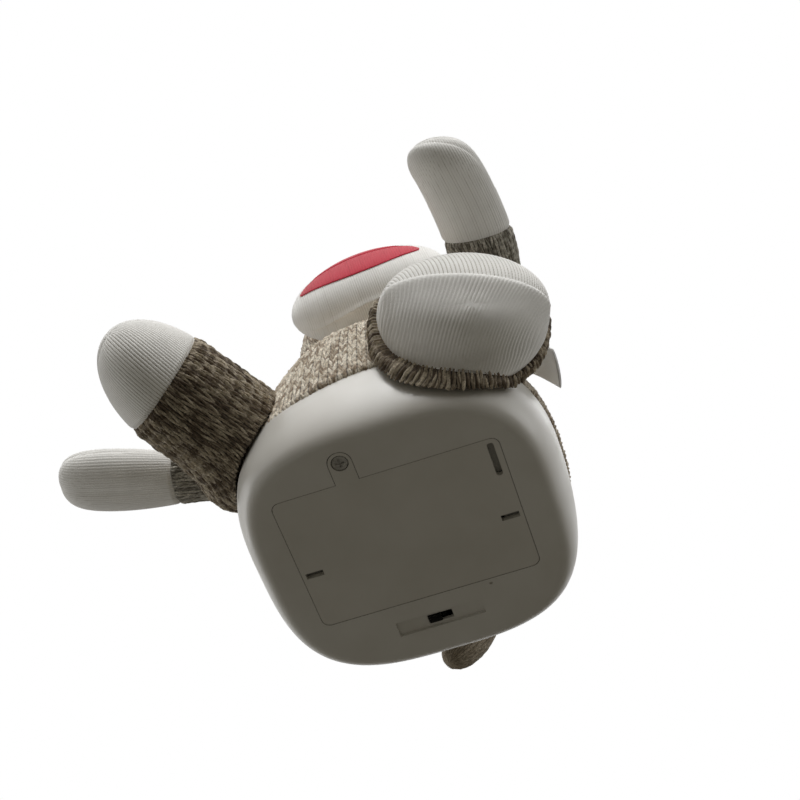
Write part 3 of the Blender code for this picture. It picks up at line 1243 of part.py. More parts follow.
def smooth_route(points, count):
    """Points at even steps on a smooth curve through the route."""
    points = np.array(points)
    padded = np.vstack([2 * points[0] - points[1], points, 2 * points[-1] - points[-2]])
    spans = len(points) - 1
    made = []
    for step in range(count):
        place = spans * step / (count - 1)
        span = min(int(place), spans - 1)
        t = place - span
        a, b, c, d = padded[span:span + 4]
        square, cube = 2 * a - 5 * b + 4 * c - d, 3 * b - a - 3 * c + d
        made.append(0.5 * (2 * b + (c - a) * t + square * t**2 + cube * t**3))
    return np.array(made)


TAIL_ROOT = (TAIL_X, BASE_CENTRE_Y + BASE_HALF_DEPTH - TAIL_INSET, TAIL_Z)


def tail(torso):
    """Stuffed tail hanging close behind the base."""
    size = np.array((TAIL_ASIDE, TAIL_REACH, -TAIL_DROP))
    route = smooth_route(np.array(TAIL_ROOT) + np.array(TAIL_ROUTE_SHARES) * size, TAIL_RINGS)
    steps = np.gradient(route, axis=0)
    rings = []
    for number, (point, step) in enumerate(zip(route, steps)):
        share = number / (len(route) - 1)
        step = step / np.linalg.norm(step)
        side = np.cross(step, ACROSS)
        side = side / np.linalg.norm(side)
        if share < 0.5:
            girth = TAIL_ROOT_SHARE + (1 - TAIL_ROOT_SHARE) * sin(pi * share)
        else:
            girth = 1 + (TAIL_TIP_SHARE - 1) * (2 * share - 1) ** 3
        half = TAIL_RADIUS * girth
        rings.append(oval(point, np.cross(side, step) * half, side * half, 2.0, TAIL_POINTS))
    last = (route[-1] - route[-2]) / np.linalg.norm(route[-1] - route[-2])
    tip = route[-1] + last * TAIL_RADIUS * TAIL_TIP_SHARE / 2
    sock = loft("tail_sock", rings, HEATHER_KNIT, (None, tip))
    room = TAIL_RADIUS * TAIL_ROOT_SHARE + SWING_GAP + SOFT_GAP
    back = Vector(TAIL_ROOT) - Vector(BACKWARD) * SWING_GAP
    cut(torso, rod("tail_pocket", back, back + Vector(BACKWARD) * TAIL_POCKET, room))
    return move_origin(sock, TAIL_ROOT)


def care_label():
    """Bare folded label standing out of the body's side, its root shaped to the body."""
    label = box(
        "care_label",
        (0.0, -LABEL_THICK / 2, -LABEL_WIDTH / 2),
        (LABEL_LENGTH, LABEL_THICK / 2, LABEL_WIDTH / 2),
        WHITE_SATIN,
    )
    turn = Matrix.Rotation(LABEL_TURN, 4, "Z") @ Matrix.Rotation(LABEL_ROLL, 4, "X")
    label.data.transform(Matrix.Translation(LABEL_ROOT) @ turn)
    cut(label, loft("torso_grown", torso_rings(SEAT_GAP)))


def build():
    base_shell()
    battery_door()
    door_screw()
    battery_tray()
    battery_cells()
    contact_plates()
    contact_springs()
    switch_case()
    switch_knob()
    base_deck()
    deck_screws()
    circuit_board()
    speaker()
    gear_train()
    shaker_weight()
    gear_frame()
    motor()
    mechanism_cover()
    motor_leads()
    torso = body_sock()
    limbs(torso)
    head()
    tail(torso)
    care_label()


build()
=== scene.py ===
"""Looks of a seated sock monkey on its battery base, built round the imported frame.

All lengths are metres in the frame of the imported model: Z up, the monkey faces -Y and +X is its left hand.
Every stuffed piece is a net of points, rows along it and columns round it: a coarse net follows a formula,
Cloth with pressure swells it, cubic weights refine it, and stitches or ribs are raised on the fine net.
"""

import json
import logging
import math
from dataclasses import dataclass, field
from enum import Enum
from functools import partial
from typing import Any, Callable, ClassVar, Optional

import bpy
import numpy as np
from mathutils import Matrix

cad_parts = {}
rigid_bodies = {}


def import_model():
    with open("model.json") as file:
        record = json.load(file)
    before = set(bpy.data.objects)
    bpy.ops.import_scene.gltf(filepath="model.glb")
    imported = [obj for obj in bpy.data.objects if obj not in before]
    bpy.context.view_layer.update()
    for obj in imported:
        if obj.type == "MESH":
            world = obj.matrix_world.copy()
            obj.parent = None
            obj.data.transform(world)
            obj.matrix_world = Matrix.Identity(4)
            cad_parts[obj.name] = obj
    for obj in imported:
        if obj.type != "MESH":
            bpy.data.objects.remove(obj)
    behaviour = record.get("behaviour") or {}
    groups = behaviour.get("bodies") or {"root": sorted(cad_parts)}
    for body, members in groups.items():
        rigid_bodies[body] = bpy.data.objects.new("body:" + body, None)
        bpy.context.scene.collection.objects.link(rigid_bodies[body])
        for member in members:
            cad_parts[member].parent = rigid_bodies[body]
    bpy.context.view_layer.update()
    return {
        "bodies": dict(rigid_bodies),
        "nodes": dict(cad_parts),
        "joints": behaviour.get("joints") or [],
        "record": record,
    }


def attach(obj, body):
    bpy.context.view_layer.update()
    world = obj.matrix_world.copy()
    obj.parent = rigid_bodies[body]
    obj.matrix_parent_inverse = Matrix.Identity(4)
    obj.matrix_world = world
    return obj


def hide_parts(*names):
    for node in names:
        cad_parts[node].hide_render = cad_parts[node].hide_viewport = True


MM = 0.001
X, Y, Z = np.eye(3)
LOG = logging.getLogger("sock_monkey")
Net = np.ndarray
Piece = bpy.types.Object
Socket = bpy.types.NodeSocket
Triple = tuple[float, float, float]


class Side(Enum):
    """Side of the monkey, as the sign of X."""

    RIGHT = -1
    LEFT = 1


# ---------------------------------------------------------------- nodes and objects


def linear(code: str) -> tuple[float, float, float, float]:
    """Linear colour of an sRGB hex code.

    Args:
        code: six hex digits after a hash sign.
    Returns:
        Red, green, blue and an alpha of one, each share turned by the sRGB curve.
    """
    shares = [int(code[i : i + 2], 16) / 255 for i in (1, 3, 5)]
    return (*[s / 12.92 if s <= 0.04045 else ((s + 0.055) / 1.055) ** 2.4 for s in shares], 1.0)


def feed(tree: bpy.types.NodeTree, node: bpy.types.Node, inputs: Any) -> None:
    """Sets a node's inputs.

    Args:
        tree: the node tree.
        node: the node.
        inputs: plain values or the sockets that feed them, in socket order, or by name or number.
    """
    for key, value in inputs.items() if isinstance(inputs, dict) else enumerate(inputs):
        if isinstance(value, Socket):
            tree.links.new(value, node.inputs[key])
        else:
            node.inputs[key].default_value = value


def add_node(tree: bpy.types.NodeTree, kind: str, inputs: Any = (), **settings: Any) -> Any:
    """Adds a node with its settings, values and links.

    Args:
        tree: the node tree.
        kind: the node's type after "ShaderNode".
        inputs: what feeds it, as feed takes it.
        settings: properties of the node itself.
    Returns:
        Its output sockets.
    """
    made = tree.nodes.new("ShaderNode" + kind)
    for key, value in settings.items():
        setattr(made, key, value)
    feed(tree, made, inputs)
    return made.outputs


def empty_tree(owner: Any) -> Callable[..., Any]:
    """Clears the nodes of a world or a material and returns what adds nodes to it."""
    owner.use_nodes = True
    owner.node_tree.nodes.clear()
    return partial(add_node, owner.node_tree)


def new_object(name: str, data: Any) -> Piece:
    """Adds an object with its data to the scene."""
    made = bpy.data.objects.new(name, data)
    bpy.context.scene.collection.objects.link(made)
    return made


# ---------------------------------------------------------------- curves and nets of points


def bell(distance: Any, width: float, power: int = 2) -> Any:
    """Bell curve: e to minus the power, here the square, of distance over width."""
    return np.exp(-((distance / width) ** power))


def ramp(distance: Any, width: float) -> Any:
    """Smooth step from 0 to 1 about a distance of 0: one over one plus e to minus distance over width."""
    return 1 / (1 + np.exp(np.clip(-distance / width, -40, 40)))


def unit(vectors: Any) -> np.ndarray:
    """Vectors divided by their lengths."""
    return vectors / np.maximum(np.linalg.norm(vectors, axis=-1, keepdims=True), 1e-12)


def turns(count: int) -> np.ndarray:
    """Even turns round a ring, in radians, the first one 0."""
    return 2 * np.pi * np.arange(count) / count


def cubic_weights(count: int, places: np.ndarray, closed: bool) -> np.ndarray:
    """Weights of a Catmull-Rom curve through evenly numbered points.

    Args:
        count: how many points the curve has.
        places: where to read it, counted in points.
        closed: whether the last point joins the first.
    Returns:
        One row of weights for each place: the cubic blend of its four nearest points.
    """
    base = np.floor(places).astype(int)
    if not closed:
        base = np.clip(base, 0, count - 2)
    t = places - base
    blend = np.stack([-t + 2 * t**2 - t**3, 2 - 5 * t**2 + 3 * t**3, t + 4 * t**2 - 3 * t**3, t**3 - t**2], 1) / 2
    index = base[:, None] + np.arange(-1, 3)
    index = index % count if closed else np.clip(index, 0, count - 1)
    weights = np.zeros((len(places), count))
    np.add.at(weights, (np.arange(len(places))[:, None], index), blend)
    return weights


def read_rows(points: np.ndarray, places: np.ndarray) -> np.ndarray:
    """Reads a curve or a net between its rows.

    Args:
        points: one point or one row of points for each number.
        places: where to read, counted in rows.
    Returns:
        One row for each place: cubic blends, with one mirrored row past each end.
    """
    padded = np.concatenate([2 * points[:1] - points[1:2], points, 2 * points[-1:] - points[-2:-1]])
    return np.tensordot(cubic_weights(len(padded), 1 + places, False), padded, 1)


def row_lengths(net: Net) -> np.ndarray:
    """Distance travelled down the net to each row, averaged over its columns."""
    steps = np.linalg.norm(np.diff(net, axis=0), axis=-1).mean(1)
    return np.concatenate([[0.0], np.cumsum(steps)])


def ring_lengths(net: Net) -> np.ndarray:
    """Distance round each row from its first column; the last entry of each row is its whole girth."""
    steps = np.linalg.norm(np.roll(net, -1, 1) - net, axis=-1)
    return np.concatenate([np.zeros((len(net), 1)), np.cumsum(steps, 1)], 1)


def end_middles(net: Net) -> tuple[np.ndarray, np.ndarray]:
    """Middles of the first and the last row."""
    return net[0].mean(0), net[-1].mean(0)


def refine(net: Net, rows: int, columns: int) -> Net:
    """Reads a coarse net at more points, its rows spaced evenly along the surface.

    Args:
        net: coarse net, closed round its columns.
        rows: rows of the fine net.
        columns: columns of the fine net.
    Returns:
        The fine net: cubic blends down the rows, then round the columns.
    """
    travelled = row_lengths(net)
    places = np.interp(np.linspace(0.0, travelled[-1], rows), travelled, np.arange(len(net)))
    around = cubic_weights(net.shape[1], np.arange(columns) * net.shape[1] / columns, True)
    return np.matmul(around[None], read_rows(net, places))


def net_normals(net: Net) -> np.ndarray:
    """Outward unit normals: the cross product of the steps round the columns and down the rows."""
    across = np.roll(net, -1, 1) - np.roll(net, 1, 1)
    return unit(np.cross(across, np.gradient(net, axis=0)))


def lifted_net(net: Net, lift: np.ndarray) -> Net:
    """Net moved along its normals by a lift in metres."""
    return net + net_normals(net) * lift[..., None]


def oval_net(
    centres: np.ndarray, across: np.ndarray, thin: np.ndarray, wide: np.ndarray, narrow: np.ndarray,
    power: Any = 2.0, columns: int = 32,
) -> Net:
    """Net of superellipse sections along a centre line.

    Args:
        centres: middle of each section.
        across: unit vector of the wide axis, for all sections or one each.
        thin: unit vector of the narrow axis.
        wide: half size along the wide axis, for each section.
        narrow: half size along the narrow axis.
        power: 2 is an ellipse and more is squarer, one number or one for each section.
        columns: points round each section.
    Returns:
        The net: centre plus wide axis times cosine to 2 over power, plus thin axis times sine likewise.
    """
    root = 2.0 / np.broadcast_to(np.asarray(power, float), (len(centres),))[:, None]
    cosine, sine = np.cos(turns(columns))[None], np.sin(turns(columns))[None]
    x = np.sign(cosine) * np.abs(cosine) ** root * np.asarray(wide)[:, None]
    y = np.sign(sine) * np.abs(sine) ** root * np.asarray(narrow)[:, None]
    across = np.broadcast_to(across, centres.shape)
    thin = np.broadcast_to(thin, centres.shape)
    return centres[:, None] + across[:, None] * x[..., None] + thin[:, None] * y[..., None]


def level_net(
    x: Any, y: Any, heights: np.ndarray, wide: np.ndarray, deep: np.ndarray, power: Any = 2.0, columns: int = 64
) -> Net:
    """Net of level superellipses.

    Args:
        x: place of their middles from side to side, for all or one each.
        y: place of their middles from front to back.
        heights: height of each.
        wide: half width of each.
        deep: half depth of each.
        power: as oval_net has it.
        columns: points round each.
    Returns:
        The net, from the first height to the last.
    """
    centres = np.stack(np.broadcast_arrays(x, y, heights), 1)
    return oval_net(centres, X, Y, wide, deep, power, columns)


def even_columns(net: Net, columns: int) -> Net:
    """Moves each row's points round it until they are evenly spaced, so that wales keep one width.

    Args:
        net: the net.
        columns: points in each row of the new one.
    Returns:
        The new net: each row read at even distances round it.
    """
    count = net.shape[1]
    rows = []
    for ring, length in zip(net, ring_lengths(net)):
        places = np.interp(np.linspace(0.0, length[-1], columns, endpoint=False), length, np.arange(count + 1))
        rows.append(cubic_weights(count, places, True) @ ring)
    return np.array(rows)


def net_mesh(
    name: str, net: Net, poles: Optional[tuple] = None, uv: Optional[np.ndarray] = None,
    relief: Optional[np.ndarray] = None,
) -> Piece:
    """Closed mesh of a net, with a fan to a pole at each end.

    Args:
        name: the object's name.
        net: rows by columns of points.
        poles: the points that close the first and the last row, if not those rows' middles.
        uv: texture place of each point, with one column more than the net for the seam.
        relief: height share of each point, kept as an attribute.
    Returns:
        The new object, smooth shaded, its faces pointing outwards.
    """
    rows, columns = net.shape[:2]
    index = np.arange(rows * columns).reshape(rows, columns)
    right = np.roll(index, -1, 1)
    quads = np.stack([index[:-1], right[:-1], right[1:], index[1:]], -1).reshape(-1, 4)
    low = np.stack([right[0], index[0], np.full(columns, rows * columns)], -1)
    high = np.stack([index[-1], right[-1], np.full(columns, rows * columns + 1)], -1)
    poles = end_middles(net) if poles is None else poles
    points = np.concatenate([net.reshape(-1, 3), np.array(poles).reshape(2, 3)])
    corners = np.concatenate([quads.ravel(), low.ravel(), high.ravel()]).astype(np.int32)
    starts = np.concatenate([np.arange(len(quads)) * 4, len(quads) * 4 + np.arange(2 * columns) * 3]).astype(np.int32)
    mesh = bpy.data.meshes.new(name)
    mesh.vertices.add(len(points))
    mesh.vertices.foreach_set("co", points.astype(np.float32).ravel())
    mesh.loops.add(len(corners))
    mesh.loops.foreach_set("vertex_index", corners)
    mesh.polygons.add(len(starts))
    mesh.polygons.foreach_set("loop_start", starts)
    if uv is not None:
        quad_uv = np.stack([uv[:-1, :-1], uv[:-1, 1:], uv[1:, 1:], uv[1:, :-1]], 2).reshape(-1, 2)
        low_uv = np.stack([uv[0, 1:], uv[0, :-1], uv[0, :-1]], 1).reshape(-1, 2)
        high_uv = np.stack([uv[-1, :-1], uv[-1, 1:], uv[-1, 1:]], 1).reshape(-1, 2)
        layer = mesh.uv_layers.new(name="stitch")
        layer.data.foreach_set("uv", np.concatenate([quad_uv, low_uv, high_uv]).astype(np.float32).ravel())
    if relief is not None:
        values = np.concatenate([relief.ravel(), [relief[0].mean(), relief[-1].mean()]])
        mesh.attributes.new("relief", "FLOAT", "POINT").data.foreach_set("value", values.astype(np.float32))
    mesh.update(calc_edges=True)
    mesh.shade_smooth()
    return new_object(name, mesh)


PRESSURE = 4.0
FILLING_FRAMES = 20


def swell(net: Net, held_rows: tuple[int, ...], cap: float, poles: Optional[tuple] = None) -> Net:
    """Fills a coarse net as stuffing does, with Cloth under pressure.

    Args:
        net: coarse net of the unfilled cover.
        held_rows: rows that are sewn down and don't move.
        cap: the furthest that a point may move.
        poles: its two closing points, as net_mesh has them.
    """
    scene = bpy.context.scene
    cover = net_mesh("cover", net, poles)
    count = net[..., 0].size
    held = np.arange(count).reshape(net.shape[:2])[list(held_rows)].ravel().tolist()
    cover.vertex_groups.new(name="sewn").add(held + [count, count + 1], 1.0, "REPLACE")
    cloth = cover.modifiers.new("filling", "CLOTH")
    cloth.settings.use_pressure = True
    cloth.settings.uniform_pressure_force = PRESSURE
    cloth.settings.effector_weights.gravity = 0.0
    cloth.settings.vertex_group_mass = "sewn"
    cloth.settings.quality = 6
    for frame in range(1, FILLING_FRAMES + 1):
        scene.frame_set(frame)
    filled = cover.evaluated_get(bpy.context.evaluated_depsgraph_get()).to_mesh()
    points = np.empty(len(filled.vertices) * 3, np.float32)
    filled.vertices.foreach_get("co", points)
    moved = points.reshape(-1, 3)[:count].reshape(net.shape) - net
    bpy.data.objects.remove(cover, do_unlink=True)
    scene.frame_set(1)
    size = np.linalg.norm(moved, axis=-1, keepdims=True)
    LOG.info("  filling moved the cover by up to %.1f mm", size.max() / MM)
    return net + moved * np.minimum(1.0, cap / np.maximum(size, 1e-9))


# ---------------------------------------------------------------- stitches and ribs


@dataclass(frozen=True)
class Stockinette:
    """Plain knitting: each wale is a column of V stitches, each V two slanting legs of yarn.

    slope is how far a leg climbs in courses, dive and bulge are the powers that round it across and along,
    and middle is the height share that lies on the net.
    """

    wale: float = 3.1 * MM
    course: float = 2.5 * MM
    slope: float = 1.35
    depth: float = 0.95 * MM
    wale_steps: int = 10
    course_steps: int = 6
    seed: int = 3
    dive: float = 0.42
    bulge: float = 0.55
    middle: float = 0.55

    def raise_on(
        self, name: str, net: Net, wales: int, poles: Optional[tuple] = None,
        form: Optional[Callable[[Net], Net]] = None,
    ) -> Piece:
        """Knits over a coarse net.

        Args:
            name: the piece's name.
            net: coarse net of the piece.
            wales: stitches round it.
            poles: its two closing points, if not the middles of its end rows.
            form: moves the fine net first, for seams, gathers and laps.
        Returns:
            The knitted piece. In a wale, off runs from 0 at its middle to 1 at its edge, and a leg is where
            course number minus slope times off has one whole part: the leg's height is a rounded ridge
            between its two grooves, and it dips at the wale's middle and edge, where it dives under.
        """
        courses = row_lengths(net)[-1] / self.course
        rows = int(round(courses * self.course_steps)) + 1
        fine = refine(net, rows, wales * self.wale_steps)
        wale = np.arange(wales * self.wale_steps + 1) / self.wale_steps
        wale_at, course_at = np.meshgrid(wale, np.linspace(0.0, courses, rows))
        off = np.abs(2 * (wale_at % 1.0) - 1)
        leg = course_at - self.slope * off
        random = np.random.default_rng(self.seed).uniform(0.6, 1.0, (2 * wales, int(courses) + 6))
        number = (np.floor(leg).astype(int) + 3) % random.shape[1]
        size = random[np.floor(2 * wale_at).astype(int) % (2 * wales), number]
        across = np.sin(np.pi * np.clip(off, 0.02, 0.98)) ** self.dive
        along = np.abs(np.sin(np.pi * leg)) ** self.bulge
        height = (across * (0.25 + 0.75 * along) * size)[:, :-1]
        uv = np.stack([2 * wale_at, leg + 8], -1)
        fine = fine if form is None else form(fine)
        poles = end_middles(net) if poles is None else poles
        return net_mesh(name, lifted_net(fine, (height - self.middle) * self.depth), poles, uv, height)


@dataclass(frozen=True)
class RibbedJersey:
    """Fine ribbed knit: rounded ribs side by side with a thin groove between, and small stitches along them.

    ink is how much of the painted shade in the grooves shows, 1 for all of it, and middle is the height share that
    lies on the net.
    """

    pitch: float = 1.0 * MM
    stitch: float = 1.1 * MM
    depth: float = 0.2 * MM
    bead: float = 0.12
    groove_shade_share: float = 1.0
    rib_steps: int = 5
    row_step: float = 0.3 * MM
    middle: float = 0.6

    def shade(self, height: np.ndarray) -> np.ndarray:
        """Relief attribute of a height, which the cloth's material turns into painted shade in the grooves."""
        return 1 - self.groove_shade_share * (1 - height)

    def lift(self, height: np.ndarray) -> np.ndarray:
        """Lift of a height, in metres."""
        return (height - self.middle) * self.depth

    def heights(self, rib: np.ndarray, along: np.ndarray, bead: Any = None) -> np.ndarray:
        """Height share at a place: a rounded rib from the cosine's size, with a slight dip at each stitch.

        Args:
            rib: number of ribs across, whole at the middle of one.
            along: distance along them.
            bead: depth share of the dips, or the jersey's own.
        Returns:
            The height, 0 in the groove to 1 on the rib.
        """
        dip = self.bead if bead is None else bead
        ridge = np.abs(np.cos(np.pi * rib)) ** 0.6
        slant = along / self.stitch + 0.5 * np.floor(rib + 0.5)
        return ridge * (1 - dip + dip * np.abs(np.cos(np.pi * slant)))


# ---------------------------------------------------------------- finishes


@dataclass(frozen=True)
class Finish:
    """A real surface, as one Principled material."""

    name: str

    def paint(self, add: Callable[..., Any], place: Socket) -> dict[str, Any]:
        """Adds the pattern's nodes.

        Args:
            add: adds a node to the material's tree.
            place: the Object coordinates.
        Returns:
            What feeds the shader's sockets.
        """
        raise NotImplementedError

    def material(self) -> bpy.types.Material:
        """Builds the material: its shader is fed with what paint returns."""
        made = bpy.data.materials.new(self.name)
        made.use_nodes = True
        tree = made.node_tree
        add = partial(add_node, tree)
        feed(tree, tree.nodes["Principled BSDF"], self.paint(add, add("TexCoord")["Object"]))
        return made


@dataclass(frozen=True)
class MarledYarn(Finish):
    """Acrylic and wool yarn of a cream and a brown ply twisted together, knitted and washed.

    It looks flecked: each leg of yarn shows slanting stripes of the two plies, some legs mostly one ply,
    with loose fibres that catch the light, and painted shade in the gaps between the legs.
    """

    cream: str
    tan: str
    brown: str
    # gap is painted shade: the dark colour laid between the legs of yarn, where the relief is low
    gap: str
    cream_share: float = 0.5

    def paint(self, add: Callable[..., Any], place: Socket) -> dict[str, Any]:
        """Stripes along the stitch map's leg, a random share per leg, and painted shade in the gaps."""
        stitch = add("UVMap", uv_map="stitch")[0]
        cell = add("VectorMath", (stitch,), operation="FLOOR")[0]
        chance = add("TexWhiteNoise", {"Vector": cell}, noise_dimensions="2D")["Value"]
        # plies cross the yarn about once in a leg
        ply = add("VectorMath", (stitch, (0.9, 0.6, 0.0)), operation="MULTIPLY")[0]
        ply = add("SeparateXYZ", (ply,))
        twist = add("Math", (ply[0], ply[1]), operation="ADD")[0]
        wander = add("TexNoise", {"Vector": place, "Scale": 260.0, "Detail": 2.0})["Fac"]
        twist = add("Math", (wander, 1.8, twist), operation="MULTIPLY_ADD")[0]
        twist = add("Math", (twist, 2 * math.pi), operation="MULTIPLY")[0]
        twist = add("Math", (twist,), operation="SINE")[0]
        share = add("MapRange", (chance, 0.0, 1.0, -0.9, 0.9))[0]
        mixed = add("Math", (twist, 0.4, share), operation="MULTIPLY_ADD")[0]
        lean = 1.6 * (0.5 - self.cream_share)
        pale = add("MapRange", (mixed, lean - 1.1, lean + 1.1), interpolation_type="SMOOTHSTEP")[0]
        cream, tan, brown, gap = map(linear, (self.cream, self.tan, self.brown, self.gap))
        low = add("Mix", {0: pale, 6: brown, 7: tan}, data_type="RGBA")[2]
        high = add("Mix", {0: pale, 6: tan, 7: cream}, data_type="RGBA")[2]
        yarn = add("Mix", {0: pale, 6: low, 7: high}, data_type="RGBA")[2]
        # single fibres, drawn at 0.3 mm so that they show
        fibre = add("TexNoise", {"Vector": place, "Scale": 1700.0, "Detail": 4.0})["Fac"]
        tone = add("MapRange", (fibre, 0.32, 0.68, 0.6, 1.3))[0]
        yarn = add("VectorMath", {0: yarn, "Scale": tone}, operation="SCALE")[0]
        # painted shade: where the relief is low, between the legs of yarn, the colour turns to the gap colour
        relief = add("Attribute", attribute_name="relief")["Fac"]
        top = add("MapRange", (relief, 0.12, 0.48), interpolation_type="SMOOTHSTEP")[0]
        return {
            "Base Color": add("Mix", {0: top, 6: gap, 7: yarn}, data_type="RGBA")[2],
            "Normal": add("Bump", {"Strength": 0.5, "Distance": 0.25 * MM, "Height": fibre})[0],
            "Roughness": 0.92, "Sheen Weight": 0.25, "Sheen Roughness": 0.5, "Specular IOR Level": 0.2,
        }


@dataclass(frozen=True)
class RibbedPolyester(Finish):
    """Brushed polyester jersey in fine ribs, soft and matt, with painted shade in the thin grooves between the ribs."""

    name: str = "ribbed_polyester_jersey"
    face: str = "#fbfaf7"
    # groove is painted shade: the grey laid in the grooves between the ribs, where the relief is low
    groove: str = "#aaa498"
    roughness: float = 0.85

    def paint(self, add: Callable[..., Any], place: Socket) -> dict[str, Any]:
        """Painted shade in the grooves where the relief is low, faint mottling and a fibre bump."""
        # painted shade: where the relief is low, in the grooves, the cloth turns to the groove colour
        relief = add("Attribute", attribute_name="relief")["Fac"]
        top = add("MapRange", (relief, 0.15, 0.75), interpolation_type="SMOOTHSTEP")[0]
        cloth = add("Mix", {0: top, 6: linear(self.groove), 7: linear(self.face)}, data_type="RGBA")[2]
        # handling marks over a few millimetres
        mottle = add("TexNoise", {"Vector": place, "Scale": 120.0, "Detail": 3.0})["Fac"]
        tone = add("MapRange", (mottle, 0.3, 0.7, 0.93, 1.02))[0]
        fibre = add("TexNoise", {"Vector": place, "Scale": 3200.0, "Detail": 3.0})["Fac"]
        return {
            "Base Color": add("VectorMath", {0: cloth, "Scale": tone}, operation="SCALE")[0],
            "Normal": add("Bump", {"Strength": 0.35, "Distance": 0.15 * MM, "Height": fibre})[0],
            "Roughness": self.roughness, "Sheen Weight": 0.45, "Sheen Roughness": 0.45, "Specular IOR Level": 0.25,
        }


@dataclass(frozen=True)
class MouldedPlastic(Finish):
    """Injection-moulded thermoplastic: an even colour that shifts slightly with wall thickness, a fine spark
    texture from the tool, and duller patches where hands have rubbed it."""

    colour: str
    shade: str
    roughness: float = 0.35
    wear: float = 0.12
    depth: float = 0.012 * MM
    ior: float = 1.53
    grain: ClassVar[float] = 0.35 * MM

    def paint(self, add: Callable[..., Any], place: Socket) -> dict[str, Any]:
        """Two colours by slow noise, roughness by patches, bump by the tool's grain."""
        slow = add("TexNoise", {"Vector": place, "Scale": 38.0, "Detail": 3.0, "Roughness": 0.55})["Fac"]
        blend = add("MapRange", (slow, 0.35, 0.65))[0]
        rub = add("TexNoise", {"Vector": place, "Scale": 90.0, "Detail": 5.0})["Fac"]
        grain = add("TexNoise", {"Vector": place, "Scale": 1.0 / self.grain, "Detail": 2.0})["Fac"]
        return {
            "Base Color": add(
                "Mix", {0: blend, 6: linear(self.shade), 7: linear(self.colour)}, data_type="RGBA"
            )[2],
            "Roughness": add("MapRange", (rub, 0.35, 0.7, self.roughness, self.roughness + self.wear))[0],
            "Normal": add("Bump", {"Strength": 0.4, "Distance": self.depth, "Height": grain})[0],
            "IOR": self.ior,
        }


@dataclass(frozen=True)
class PlatedSteel(Finish):
    """Steel with a thin bright plating, drawn or turned: a mid grey metal with fine lines and dull specks."""

    colour: str
    roughness: float = 0.3
    metallic: float = 1.0
    lines: ClassVar[float] = 0.12 * MM

    def paint(self, add: Callable[..., Any], place: Socket) -> dict[str, Any]:
        """Metal colour, roughness by specks, bump by fine turning lines."""
        speck = add("TexNoise", {"Vector": place, "Scale": 900.0, "Detail": 4.0})["Fac"]
        tone = add("MapRange", (speck, 0.3, 0.7, 0.8, 1.05))[0]
        turned = add(
            "TexWave", {"Vector": place, "Scale": 0.05 / self.lines, "Distortion": 1.5}, wave_type="RINGS"
        )["Fac"]
        return {
            "Base Color": add("VectorMath", {0: linear(self.colour)[:3], "Scale": tone}, operation="SCALE")[0],
            "Roughness": add("MapRange", (speck, 0.3, 0.7, self.roughness, self.roughness + 0.2))[0],
            "Normal": add("Bump", {"Strength": 0.25, "Distance": 0.01 * MM, "Height": turned})[0],
            "Metallic": self.metallic,
        }


@dataclass(frozen=True)
class SatinRibbon(Finish):
    """Woven polyester satin: glossy threads that run across the ribbon, slightly see-through."""

    name: str = "woven_satin_ribbon"
    face: str = "#f6f5f2"
    shade: str = "#e3e1db"
    thread: float = 0.3 * MM

    def paint(self, add: Callable[..., Any], place: Socket) -> dict[str, Any]:
        """Two tones by the threads, with their bump; a wave's scale is 0.314 over its length."""
        thread = add(
            "TexWave", {"Vector": place, "Scale": 0.314 / self.thread / 2, "Distortion": 1.0},
            wave_type="BANDS", bands_direction="Z",
        )["Fac"]
        return {
            "Base Color": add(
                "Mix", {0: thread, 6: linear(self.shade), 7: linear(self.face)}, data_type="RGBA"
            )[2],
            "Normal": add("Bump", {"Strength": 0.5, "Distance": 0.05 * MM, "Height": thread})[0],
            "Roughness": 0.38, "Sheen Weight": 0.3, "Specular IOR Level": 0.5, "Subsurface Weight": 0.8,
            "Subsurface Radius": (1.0, 1.0, 1.0), "Subsurface Scale": 2.5 * MM,
        }


@dataclass(frozen=True)
class CoatedBoard(Finish):
    """Coated circuit board in two tones: copper tracks under the mask along the borders of small cells."""

    colour: str
    mark: str
    cell: float
    roughness: float

    def paint(self, add: Callable[..., Any], place: Socket) -> dict[str, Any]:
        """The second tone along the borders of small cells."""
        border = add("TexVoronoi", {"Vector": place, "Scale": 1.0 / self.cell}, feature="DISTANCE_TO_EDGE")["Distance"]
        line = add("MapRange", (border, 0.03, 0.06))[0]
        return {
            "Base Color": add("Mix", {0: line, 6: linear(self.mark), 7: linear(self.colour)}, data_type="RGBA")[2],
            "Normal": add("Bump", {"Strength": 0.3, "Distance": 0.03 * MM, "Height": line})[0],
            "Roughness": self.roughness, "Coat Weight": 0.3,
        }


